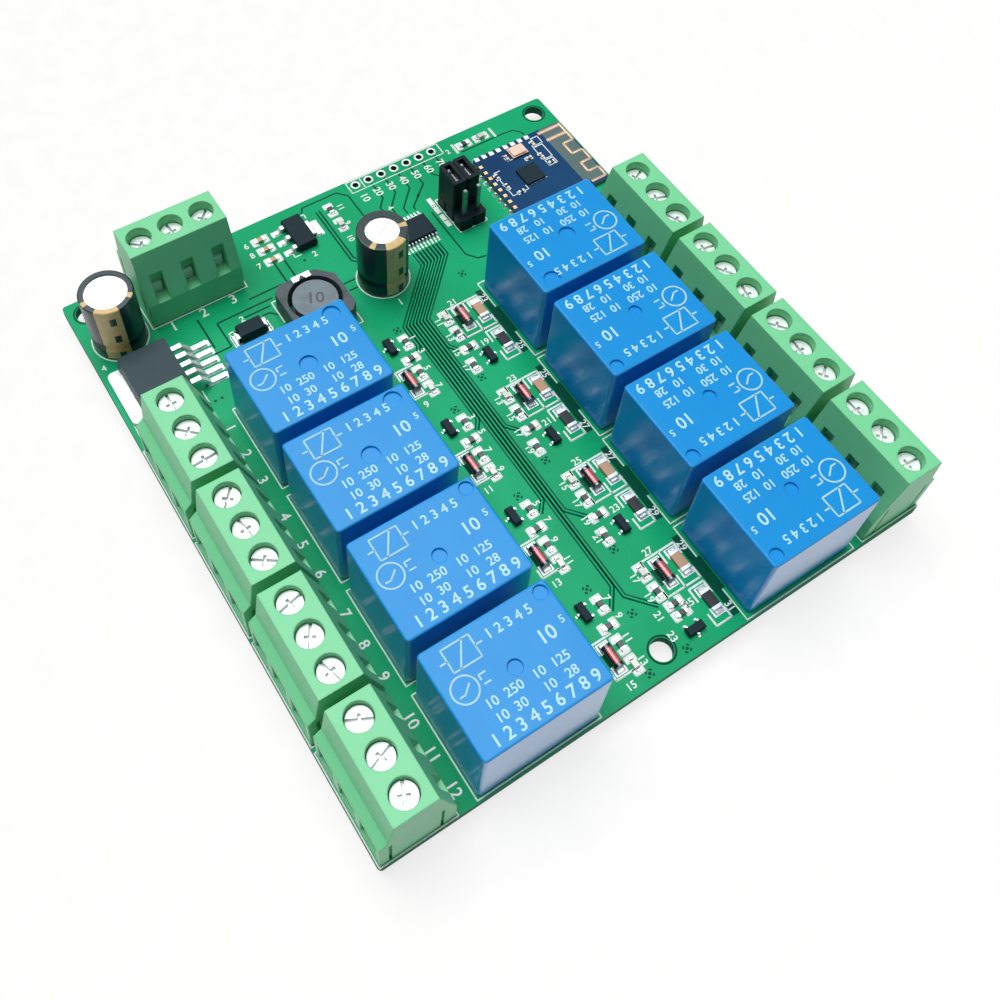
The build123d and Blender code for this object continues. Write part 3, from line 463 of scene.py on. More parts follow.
@dataclass(frozen=True)
class Metal:
    """Bare metal: tinned, plated or turned, with fine streaks and soft edges."""

    name: str
    colour: Colour
    shade: Colour
    roughness: float = 0.25
    streaks: tuple[float, float, float] = (1, 1, 1)
    depth: float = 0.003
    edge: float = 0.05
    metal: float = 1.0

    def make(self) -> bpy.types.Material:
        """Build the material."""
        sheet = Sheet(self.name)
        cloud = sheet.noise(1.2, 3.0)
        fine = sheet.noise(0.12, 3.0, self.streaks)
        return sheet.surface(
            Base_Color=sheet.blend(self.colour, self.shade, cloud.ramp(0.35, 0.75)),
            Metallic=self.metal,
            Roughness=self.roughness + (fine - 0.5) * 0.2,
            Normal=sheet.bump(fine, self.depth, sheet.rounded(self.edge)),
        )


@dataclass(frozen=True)
class Laminate:
    """Circuit board: lacquered faces over glass cloth, with a raw sawn edge where it has one."""

    name: str
    face: Colour
    face_drift: Colour
    edge: Colour | None = None
    core: Colour | None = None
    weave: float = 0.45

    def make(self) -> bpy.types.Material:
        """Build the material."""
        sheet = Sheet(self.name)
        x, y, z = sheet.axes()
        turn = 2 * math.pi / (self.weave * MM)
        weave = ((x * turn).sine() * (y * turn).sine()) * 0.5 + 0.5
        cloud = sheet.noise(14.0, 3.0)
        fine = sheet.noise(0.2, 2.0)
        layers = sheet.noise(0.12, 2.0, (0.05, 0.05, 1.0))
        side = 1 - sheet.facing()[2].size().ramp(0.4, 0.6)
        face = sheet.blend(self.face, self.face_drift, cloud.ramp(0.3, 0.7))
        edge = sheet.blend(self.edge or self.face, self.core or self.face_drift, layers.ramp(0.35, 0.7))
        return sheet.surface(
            Base_Color=sheet.blend(face, edge, side),
            Roughness=0.28 + side * 0.35 + (fine - 0.5) * 0.1,
            Normal=sheet.bump(weave + fine * 0.6, 0.0015),
            Specular_IOR_Level=0.07,
        )


@dataclass(frozen=True)
class Ink:
    """Thin print: nearly one colour, patchy at its own scale."""

    name: str
    colour: Colour
    worn: Colour
    roughness: float = 0.55

    def make(self) -> bpy.types.Material:
        """Build the material."""
        sheet = Sheet(self.name)
        patches = sheet.noise(0.5, 4.0)
        return sheet.surface(
            Base_Color=sheet.blend(self.colour, self.worn, patches.ramp(0.5, 0.85)),
            Roughness=self.roughness + (patches - 0.5) * 0.2,
            Normal=sheet.bump(patches, 0.004),
        )


@dataclass(frozen=True)
class Sleeve:
    """Shrunk capacitor sleeve: dark, with one pale stripe that holds dark bars."""

    name: str
    body: Colour
    stripe: Colour
    stripe_shade: Colour
    bar: Colour
    axes: tuple[Point, ...]
    headings: tuple[float, ...]
    marks: tuple[float, ...]
    half_angle: float = 27.0
    mark_half_angle: float = 7.0
    bar_offset: float = 8.1
    bar_half_angle: float = 6.75
    bar_pitch: float = 4.2
    reach: float = 6.0

    def make(self) -> bpy.types.Material:
        """Build the material."""
        sheet = Sheet(self.name)
        x, y, z = sheet.axes()
        on_rim = sheet.facing()[2].above(0.7)
        stripe, bars = x * 0, x * 0
        for centre, heading in zip(self.axes, self.headings):
            stripe = stripe.most(self.sector(x, y, centre, heading, self.half_angle))
            bars = bars.most(self.sector(x, y, centre, heading + self.bar_offset, self.bar_half_angle))
            for mark in self.marks:
                stripe = stripe.most(self.sector(x, y, centre, heading + mark, self.mark_half_angle) * on_rim)
        level = ((z - CORNER.z) * (2 * math.pi / (self.bar_pitch * MM))).sine()
        bars = bars * level.above(0.3) * (1 - on_rim)
        fine = sheet.noise(0.8, 3.0)
        gilt = sheet.blend(self.stripe, self.stripe_shade, fine)
        banded = sheet.blend(self.body, gilt, stripe)
        return sheet.surface(
            Base_Color=sheet.blend(banded, self.bar, bars),
            Roughness=0.26 + fine * 0.1,
            Normal=sheet.bump(fine, 0.004),
            Specular_IOR_Level=0.35,
            Coat_Weight=0.1,
            Coat_Roughness=0.08,
        )

    def sector(self, x: Signal, y: Signal, axis: Point, heading: float, half_angle: float) -> Signal:
        """Sector about one capacitor's axis.

        Args:
            x: Object coordinate along x.
            y: Object coordinate along y.
            axis: Place of the capacitor's axis on the board.
            heading: Direction of the sector's middle, in degrees.
            half_angle: Angle from its middle to its edges, in degrees.

        Returns:
            1 inside the sector and near the axis, else 0.
        """
        centre = spot(*axis)
        across, along = x - centre.x, y - centre.y
        distance = (across * across + along * along) ** 0.5
        turn = math.radians(heading)
        toward = (across * math.cos(turn) + along * math.sin(turn)) / distance
        return toward.above(math.cos(math.radians(half_angle))) * distance.below(self.reach * MM)


@dataclass(frozen=True)
class Ferrite:
    """Pressed and ground ferrite: matt grey with speckles."""

    name: str
    colour: Colour
    speckle: Colour
    roughness: float = 0.55

    def make(self) -> bpy.types.Material:
        """Build the material."""
        sheet = Sheet(self.name)
        cloud = sheet.noise(2.5, 3.0)
        grit = sheet.noise(0.14, 3.0)
        return sheet.surface(
            Base_Color=sheet.blend(self.colour, self.speckle, (cloud * 0.5 + grit * 0.5).ramp(0.4, 0.65)),
            Roughness=self.roughness + (grit - 0.5) * 0.25,
            Normal=sheet.bump(grit, 0.012, sheet.rounded(0.12)),
            Specular_IOR_Level=0.25,
        )


@dataclass(frozen=True)
class Glass:
    """Dark glass tube, with a pink highlight painted on its upward-facing side."""

    name: str
    dark: Colour
    top_highlight: Colour

    def make(self) -> bpy.types.Material:
        """Build the material."""
        sheet = Sheet(self.name)
        fine = sheet.noise(0.5, 2.0)
        upward = sheet.facing()[2]
        # Painted highlight: the pale pink goes on the faces that look upwards, the dark glass colour on the
        # rest.
        return sheet.surface(
            Base_Color=sheet.blend(self.dark, self.top_highlight, (upward + (fine - 0.5) * 0.1).ramp(0.72, 0.9)),
            Roughness=0.1 + fine * 0.05,
            Normal=sheet.bump(fine, 0.001),
            Coat_Weight=0.8,
            Coat_Roughness=0.04,
        )


@dataclass(frozen=True)
class WoundWire:
    """Enamelled wire wound in close turns about an upright axis, with painted shade in the grooves between
    the turns.
    """

    name: str
    colour: Colour
    groove_shade: Colour
    pitch: float = 0.12

    def make(self) -> bpy.types.Material:
        """Build the material."""
        sheet = Sheet(self.name)
        height = sheet.axes()[2]
        turns = (height * (2 * math.pi / (self.pitch * MM))).sine() * 0.5 + 0.5
        fine = sheet.noise(0.6, 2.0)
        # Painted shade: the dark colour fills the grooves between the turns and the copper colour is on their
        # crowns.
        return sheet.surface(
            Base_Color=sheet.blend(self.groove_shade, self.colour, turns.ramp(0.1, 0.6)),
            Metallic=0.75,
            Roughness=0.3 + fine * 0.15,
            Normal=sheet.bump(turns, 0.03),
        )


class Finish(Enum):
    """Every finish on the board."""

    RELAY_BLUE = Moulding(
        "relay_blue", paint(20, 152, 227), paint(16, 142, 219), 0.22,
        grain=0.5, depth=0.0006, edge=0.2, gloss=0.17, end_coat=0.75,
    )
    RELAY_PRINT = Ink("relay_print", paint(178, 226, 246), paint(150, 208, 238), 0.5)
    RELAY_BASE = Moulding("relay_base_black", paint(34, 36, 40), paint(44, 46, 50), 0.45)
    SOFT_IRON = Metal("soft_iron", paint(150, 150, 152), paint(120, 120, 124), 0.4)
    # Copper wire, with painted shade in the grooves between its turns.
    COPPER_WIRE = WoundWire("copper_wire", paint(196, 98, 48), paint(90, 34, 16))
    CONTACT = Metal("contact_metal", paint(214, 196, 150), paint(176, 160, 122), 0.3)
    TERMINAL_GREEN = Moulding(
        "terminal_green", paint(124, 217, 160), paint(112, 208, 148), 0.42,
        grain=0.35, depth=0.0015, edge=0.3, gloss=0.3, coat=0.08,
    )
    SCREW = Metal(
        "screw_steel", paint(230, 234, 234), paint(208, 214, 216), 0.5,
        streaks=(1, 8, 1), depth=0.002, edge=0.12, metal=0.35,
    )
    CLAMP = Metal("clamp_steel", paint(230, 234, 236), paint(200, 206, 208), 0.4, metal=0.5)
    TINNED = Metal("tinned_metal", paint(226, 231, 231), paint(206, 212, 214), 0.4, metal=0.5)
    SOLDER = Metal("solder", paint(222, 228, 228), paint(180, 188, 190), 0.3, depth=0.006, metal=0.7)
    DARK_CAP = Metal("diode_cap", paint(92, 98, 100), paint(50, 54, 56), 0.3)
    BOARD = Laminate(
        "board_green", paint(24, 172, 116), paint(18, 158, 104), paint(24, 112, 84), paint(60, 124, 90)
    )
    TRACK = Laminate("track_green", paint(28, 182, 124), paint(22, 170, 114))
    BARE_GAP = Laminate("gap_green", paint(4, 84, 62), paint(2, 76, 56))
    LEGEND = Ink("legend_white", paint(234, 241, 237), paint(206, 222, 212))
    CAN = Metal("can_aluminium", paint(227, 230, 232), paint(212, 215, 218), 0.5, depth=0.002, edge=0.2)
    SCORE = Metal("score_line", paint(170, 174, 178), paint(150, 154, 158), 0.5)
    FERRITE_RING = Ferrite("ferrite_ring", paint(82, 92, 98), paint(62, 70, 76))
    FERRITE_DRUM = Ferrite("ferrite_drum", paint(124, 138, 146), paint(104, 117, 125))
    PACKAGE = Moulding(
        "package_black", paint(48, 70, 77), paint(42, 62, 69), 0.5,
        grain=0.12, depth=0.004, edge=0.12, gloss=0.2,
    )
    SMALL_PACKAGE = Moulding(
        "small_package_black", paint(32, 48, 57), paint(26, 42, 50), 0.5,
        grain=0.1, depth=0.003, edge=0.06, gloss=0.08,
    )
    PACKAGE_MARK = Ink("package_mark", paint(128, 130, 132), paint(100, 102, 104), 0.5)
    HEADER = Moulding(
        "header_black", paint(8, 26, 32), paint(14, 34, 40), 0.45, grain=0.2, edge=0.1, gloss=0.12
    )
    PIN_STEEL = Metal("pin_steel", paint(150, 156, 158), paint(104, 110, 112), 0.35)
    GILT = Metal("gilt_metal", paint(226, 188, 138), paint(200, 160, 112), 0.35, metal=0.7)
    RADIO_BLUE = Laminate(
        "radio_blue", paint(26, 70, 112), paint(20, 60, 100), paint(60, 84, 92), paint(140, 140, 110)
    )
    RADIO_BARE = Laminate("radio_bare", paint(98, 120, 118), paint(88, 110, 110))
    AERIAL = Metal("aerial_gold", paint(226, 192, 168), paint(210, 174, 150), 0.45, metal=0.4)
    CRYSTAL = Metal("crystal_lid", paint(216, 186, 170), paint(200, 170, 154), 0.45, metal=0.4)
    CRYSTAL_BASE = Moulding("crystal_base", paint(118, 90, 70), paint(104, 78, 60), 0.5)
    # Dark diode glass with a painted pink highlight along its top.
    GLASS_RED = Glass("diode_glass", paint(34, 22, 26), paint(206, 88, 96))
    LAMP_BASE = Moulding("lamp_white", paint(226, 226, 218), paint(210, 212, 204), 0.5)
    LAMP_LENS = Moulding(
        "lamp_lens", paint(214, 220, 206), paint(190, 200, 186), 0.15, depth=0.001, edge=0.05, coat=0.4
    )
    CHIP_BLACK = Moulding("chip_black", paint(26, 28, 34), paint(34, 36, 42), 0.3, grain=0.15, edge=0.05)
    CHIP_TAN = Moulding(
        "chip_tan", paint(198, 156, 124), paint(184, 142, 112), 0.45, grain=0.15, depth=0.003, edge=0.06
    )

    @property
    def material(self) -> bpy.types.Material:
        """The finish's material, built once."""
        return finished(self)


@cache
def finished(finish: Finish) -> bpy.types.Material:
    """Build a finish's material on its first use."""
    return finish.value.make()


def coat(node: str, finish: Finish | bpy.types.Material) -> None:
    """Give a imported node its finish.

    Args:
        node: Name of the node.
        finish: A named finish, or a material made for this node alone.
    """
    material = finish.material if isinstance(finish, Finish) else finish
    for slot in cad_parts[node].material_slots:
        slot.material = material
    log.info("%s: %s", node, material.name)


def deliver(
    mesh: bpy.types.Mesh, name: str, body: str = "board", stands_for: Iterable[str] = ()
) -> bpy.types.Object:
    """Make a finished mesh a piece of the part.

    Args:
        mesh: The piece's mesh, in the frame's own places.
        name: The piece's name.
        body: The body that it rides on.
        stands_for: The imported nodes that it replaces.

    Returns:
        The piece's object.
    """
    mesh.name = name
    piece = bpy.data.objects.new(name, mesh)
    bpy.context.scene.collection.objects.link(piece)
    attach(piece, body)
    for node in stands_for:
        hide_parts(node)
    log.info("%s: %d faces on %s", name, len(mesh.polygons), body)
    return piece


# Recipes for what repeats or follows a line


class Rise(Enum):
    """How far each thin layer stands above its ground, in millimetres."""

    GAP = 0.008
    MARK = 0.01
    PRINT = 0.012
    TRACK = 0.016
    INK = 0.03
    DIGIT = 0.04


class Recipe(NodeSheet):
    """A Geometry Nodes tree with named inputs, read back as a plain mesh."""

    def __init__(self, name: str) -> None:
        """Start an empty recipe.

        Args:
            name: Its name.
        """
        super().__init__(bpy.data.node_groups.new(name, "GeometryNodeTree"))
        self.tree.interface.new_socket("Geometry", in_out="INPUT", socket_type="NodeSocketGeometry")
        self.tree.interface.new_socket("Geometry", in_out="OUTPUT", socket_type="NodeSocketGeometry")
        self.entry = self.add("NodeGroupInput")
        self.identifiers: dict[str, str] = {}

    def named(
        self, name: str, default: float | None = None, kind: str = "NodeSocketFloat"
    ) -> bpy.types.NodeSocket:
        """Add a named input.

        Args:
            name: The input's name.
            default: Its value where none is given.
            kind: Its type.

        Returns:
            The socket that gives it inside the recipe.
        """
        item = self.tree.interface.new_socket(name, in_out="INPUT", socket_type=kind)
        if default is not None:
            item.default_value = default
        self.identifiers[name] = item.identifier
        return self.entry.outputs[name]

    def attribute(self, name: str, kind: str) -> bpy.types.NodeSocket:
        """Value that each point carries under a name."""
        return self.add("GeometryNodeInputNamedAttribute", {"data_type": kind}, {"Name": name}).outputs[0]

    def close(self, geometry: bpy.types.NodeSocket, colour: bpy.types.NodeSocket) -> None:
        """End the recipe: real geometry, in one material."""
        real = self.add("GeometryNodeRealizeInstances", {}, {0: geometry}).outputs[0]
        painted = self.add("GeometryNodeSetMaterial", {}, {"Geometry": real, "Material": colour}).outputs[0]
        self.add("NodeGroupOutput", {}, {0: painted})

    def make(self, source: bpy.types.Mesh, sizes: Mapping[str, object]) -> bpy.types.Mesh:
        """Run the recipe.

        Args:
            source: The points or lines that it starts from.
            sizes: Values of its named inputs.

        Returns:
            The result as a plain mesh.
        """
        holder = bpy.data.objects.new(self.tree.name, source)
        bpy.context.scene.collection.objects.link(holder)
        modifier = holder.modifiers.new(self.tree.name, "NODES")
        modifier.node_group = self.tree
        for name, value in sizes.items():
            modifier[self.identifiers[name]] = value
        graph = bpy.context.evaluated_depsgraph_get()
        mesh = bpy.data.meshes.new_from_object(holder.evaluated_get(graph), depsgraph=graph)
        bpy.data.objects.remove(holder)
        return mesh


class Strips(Recipe):
    """Flat strips along routes, with rounded bends."""

    bend_points = 3

    def __init__(self) -> None:
        """Build the recipe."""
        super().__init__("strips")
        width = self.named("Width", 0.2 * MM)
        height = self.named("Height", 0.02 * MM)
        bend = self.named("Bend", 0.2 * MM)
        colour = self.named("Paint", None, "NodeSocketMaterial")
        curve = self.add("GeometryNodeMeshToCurve", {}, {"Mesh": self.entry.outputs[0]}).outputs[0]
        sockets = {"Curve": curve, "Count": self.bend_points, "Radius": bend, "Limit Radius": True}
        curve = self.add("GeometryNodeFilletCurve", {"mode": "POLY"}, sockets).outputs[0]
        curve = self.add("GeometryNodeSetCurveNormal", {"mode": "Z_UP"}, {"Curve": curve}).outputs[0]
        sockets = {"Width": width, "Height": height}
        profile = self.add("GeometryNodeCurvePrimitiveQuadrilateral", {}, sockets).outputs[0]
        sockets = {"Curve": curve, "Profile Curve": profile, "Fill Caps": True}
        self.close(self.add("GeometryNodeCurveToMesh", {}, sockets).outputs[0], colour)


class Shape(Enum):
    """What a stamp is."""

    BLOCK = "block"
    DISC = "disc"
    RING = "ring"
    HANGING_CONE = "hanging_cone"
    SKIRT = "skirt"


@dataclass(frozen=True)
class Stamp:
    """One copy of a shape: the middle of its foot, its size, in millimetres, and its turn in degrees."""

    x: float
    y: float
    z: float
    length: float
    width: float
    height: float
    turn: float = 0.0


class Stamps(Recipe):
    """Copies of one small shape, each of its own size and turn."""

    sides = 20

    def __init__(self, shape: Shape) -> None:
        """Build the recipe.

        Args:
            shape: What the copies are.
        """
        super().__init__(f"stamps_{shape.value}")
        top = self.named("Top", 0.5)
        colour = self.named("Paint", None, "NodeSocketMaterial")
        pattern = self.pattern(shape, top)
        turn = self.attribute("turn", "FLOAT")
        sockets = {
            "Points": self.entry.outputs[0],
            "Instance": pattern,
            "Rotation": self.add("ShaderNodeCombineXYZ", {}, {2: turn}).outputs[0],
            "Scale": self.attribute("spread", "FLOAT_VECTOR"),
        }
        self.close(self.add("GeometryNodeInstanceOnPoints", {}, sockets).outputs[0], colour)

    def pattern(self, shape: Shape, top: bpy.types.NodeSocket) -> bpy.types.NodeSocket:
        """Shape of unit size that stands on its foot.

        Args:
            shape: Which shape.
            top: Width of the top against the foot, for the shapes that taper.

        Returns:
            The socket of its geometry.
        """
        half = 0.5
        match shape:
            case Shape.BLOCK:
                made = self.add("GeometryNodeMeshCube", {}, {"Size": (1, 1, 1)}).outputs[0]
                return self.moved(made, (0, 0, half))
            case Shape.DISC:
                sockets = {"Vertices": self.sides, "Radius": half, "Depth": 1.0}
                made = self.add("GeometryNodeMeshCylinder", {}, sockets).outputs[0]
                return self.moved(made, (0, 0, half))
            case Shape.RING:
                wall = 0.2
                sockets = {"Resolution": self.sides, "Radius": half - wall / 2}
                circle = self.add("GeometryNodeCurvePrimitiveCircle", {}, sockets).outputs[0]
                sockets = {"Width": wall, "Height": 1.0}
                profile = self.add("GeometryNodeCurvePrimitiveQuadrilateral", {}, sockets).outputs[0]
                sockets = {"Curve": circle, "Profile Curve": profile}
                made = self.add("GeometryNodeCurveToMesh", {}, sockets).outputs[0]
                return self.moved(made, (0, 0, half))
            case Shape.HANGING_CONE:
                narrow = Signal(self, top) * half
                sockets = {"Vertices": self.sides, "Radius Top": half, "Radius Bottom": narrow, "Depth": 1.0}
                made = self.add("GeometryNodeMeshCone", {}, sockets).outputs[0]
                return self.moved(made, (0, 0, -1))
            case Shape.SKIRT:
                corner = math.sqrt(half)
                narrow = Signal(self, top) * corner
                sockets = {"Vertices": 4, "Radius Top": narrow, "Radius Bottom": corner, "Depth": 1.0}
                made = self.add("GeometryNodeMeshCone", {}, sockets).outputs[0]
                return self.moved(made, (0, 0, 0), math.radians(45))

    def moved(
        self, geometry: bpy.types.NodeSocket, step: Sequence[float], turn: float = 0.0
    ) -> bpy.types.NodeSocket:
        """Geometry moved by a step and turned about the vertical."""
        sockets = {"Geometry": geometry, "Translation": step, "Rotation": (0, 0, turn)}
        return self.add("GeometryNodeTransform", {}, sockets).outputs[0]


@cache
def strips() -> Strips:
    """The one recipe for strips."""
    return Strips()


@cache
def stamps(shape: Shape) -> Stamps:
    """The recipe for a shape's stamps."""
    return Stamps(shape)


def lines_mesh(routes: Iterable[Route], z: float) -> bpy.types.Mesh:
    """Edges along routes on the board.

    Args:
        routes: Points of each route. One that ends where it starts is closed.
        z: Height of the routes above the board.

    Returns:
        A mesh of edges, in the frame's own places.
    """
    points: list[Vector] = []
    edges: list[tuple[int, int]] = []
    for route in routes:
        closed = route[0] == route[-1]
        corners = route[:-1] if closed else route
        first = len(points)
        points.extend(spot(x, y, z) for x, y in corners)
        edges.extend((first + step, first + step + 1) for step in range(len(corners) - 1))
        if closed:
            edges.append((len(points) - 1, first))
    mesh = bpy.data.meshes.new("routes")
    mesh.from_pydata(points, edges, [])
    return mesh


def strip_mesh(
    routes: Iterable[Route], width: float, rise: float, finish: Finish, z: float = 0.0, bend: float = 0.2
) -> bpy.types.Mesh:
    """Flat strips along routes.

    Args:
        routes: Points of each route.
        width: Width of the strips.
        rise: How far they stand above their level; they go as far below it.
        finish: What they are painted with.
        z: Level of the routes above the board.
        bend: Radius of their bends.

    Returns:
        One mesh, in the frame's own places.
    """
    sizes = {"Width": width * MM, "Height": 2 * rise * MM, "Bend": bend * MM, "Paint": finish.material}
    return strips().make(lines_mesh(routes, z), sizes)


def stamp_mesh(shape: Shape, copies: Sequence[Stamp], finish: Finish, top: float = 0.5) -> bpy.types.Mesh:
    """Copies of one shape.

    Args:
        shape: Which shape.
        copies: Place, size and turn of each.
        finish: What they are painted with.
        top: Width of the top against the foot, for the shapes that taper.

    Returns:
        One mesh, in the frame's own places.
    """
    mesh = bpy.data.meshes.new("copies")
    mesh.from_pydata([spot(copy.x, copy.y, copy.z) for copy in copies], [], [])
    mesh.attributes.new("spread", "FLOAT_VECTOR", "POINT")
    mesh.attributes.new("turn", "FLOAT", "POINT")
    sizes = [side * MM for copy in copies for side in (copy.length, copy.width, copy.height)]
    mesh.attributes["spread"].data.foreach_set("vector", sizes)
    mesh.attributes["turn"].data.foreach_set("value", [math.radians(copy.turn) for copy in copies])
    return stamps(shape).make(mesh, {"Top": top, "Paint": finish.material})


def joined(meshes: Iterable[bpy.types.Mesh]) -> bpy.types.Mesh:
    """One mesh out of several, each with its own materials.

    Args:
        meshes: The meshes, which are used up.

    Returns:
        The joined mesh.
    """
    shape = bmesh.new()
    materials: list[bpy.types.Material] = []
    for mesh in meshes:
        numbers = []
        for material in mesh.materials:
            if material not in materials:
                materials.append(material)
            numbers.append(materials.index(material))
        first = len(shape.faces)
        shape.from_mesh(mesh)
        shape.faces.ensure_lookup_table()
        for face in shape.faces[first:]:
            face.material_index = numbers[face.material_index] if numbers else 0
        bpy.data.meshes.remove(mesh)
    whole = bpy.data.meshes.new("joined")
    shape.to_mesh(whole)
    shape.free()
    for material in materials:
        whole.materials.append(material)
    return whole


def number_mesh(
    text: str,
    x: float,
    y: float,
    height: float,
    finish: Finish,
    turn: float = 0,
    z: float = 0,
    rise: float = Rise.INK.value,
) -> bpy.types.Mesh:
    """Flat printed number.

    Args:
        text: The digits.
        x: Middle of the number along x.
        y: Middle of the number along y.
        height: Height of a digit.
        finish: What it is painted with.
        turn: Turn about the vertical, in degrees.
        z: Level that it is printed on.
        rise: How far it stands above that level.

    Returns:
        Its mesh, in the frame's own places.
    """
    digit_share = 0.69
    bold_share = 0.02
    curve = bpy.data.curves.new(text, "FONT")
    curve.body = text
    curve.size = height * MM / digit_share
    curve.offset = height * MM * bold_share
    curve.extrude = rise * MM
    curve.resolution_u = 3
    curve.align_x = "CENTER"
    curve.align_y = "CENTER"
    holder = bpy.data.objects.new(text, curve)
    bpy.context.scene.collection.objects.link(holder)
    graph = bpy.context.evaluated_depsgraph_get()
    mesh = bpy.data.meshes.new_from_object(holder.evaluated_get(graph), depsgraph=graph)
    bpy.data.objects.remove(holder)
    mesh.transform(Matrix.Translation(spot(x, y, z)) @ Matrix.Rotation(math.radians(turn), 4, "Z"))
    mesh.materials.clear()
    mesh.materials.append(finish.material)
    return mesh


def box_route(low_x: float, low_y: float, high_x: float, high_y: float) -> list[Point]:
    """Closed route round a box."""
    return [(low_x, low_y), (high_x, low_y), (high_x, high_y), (low_x, high_y), (low_x, low_y)]


def ring_route(
    x: float, y: float, radius: float, start: float = 0, end: float = 360, steps: int = 32
) -> list[Point]:
    """Route along a circle or a part of it.

    Args:
        x: Middle of the circle.
        y: Middle of the circle.
        radius: Its radius.
        start: Angle of the first point, in degrees.
        end: Angle of the last point, in degrees.
        steps: Number of lines in the route.

    Returns:
        The route, closed where it goes all the way round.
    """
    angles = [math.radians(start + (end - start) * step / steps) for step in range(steps + 1)]
    route = [(x + radius * math.cos(angle), y + radius * math.sin(angle)) for angle in angles]
    if end - start == 360:
        route[-1] = route[0]
    return route


def turned(route: Route, x: float, y: float, turn: float) -> list[Point]:
    """Route about the origin, turned in degrees and then moved to a place."""
    cosine, sine = math.cos(math.radians(turn)), math.sin(math.radians(turn))
    return [(x + cosine * u - sine * v, y + sine * u + cosine * v) for u, v in route]


def recast(
    node: str,
    name: str,
    finishes: Sequence[Finish],
    choose: Callable[[Vector, Island], int],
    body: str = "board",
) -> None:
    """Replace a node by a copy of it whose faces have several finishes.

    Args:
        node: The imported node.
        name: The new piece's name.
        finishes: The finishes that it has.
        choose: Gives a face's finish by its middle, measured from the middle of its solid, and the solid.
        body: The body that it rides on.
    """
    shape = merged(node)
    for island in islands_of(shape):
        for index in island.faces:
            face = shape.faces[index]
            offset = place(face.calc_center_median()) - island.middle
            face.material_index = choose(offset, island)
    mesh = bpy.data.meshes.new(name)
    shape.to_mesh(mesh)
    shape.free()
    for finish in finishes:
        mesh.materials.append(finish.material)
    deliver(mesh, name, body, [node])


def along(offset: Vector, island: Island) -> tuple[float, float]:
    """Distances of a point from the middle of its solid, along its longer and its shorter side."""
    if island.size.x >= island.size.y:
        return abs(offset.x), abs(offset.y)
    return abs(offset.y), abs(offset.x)


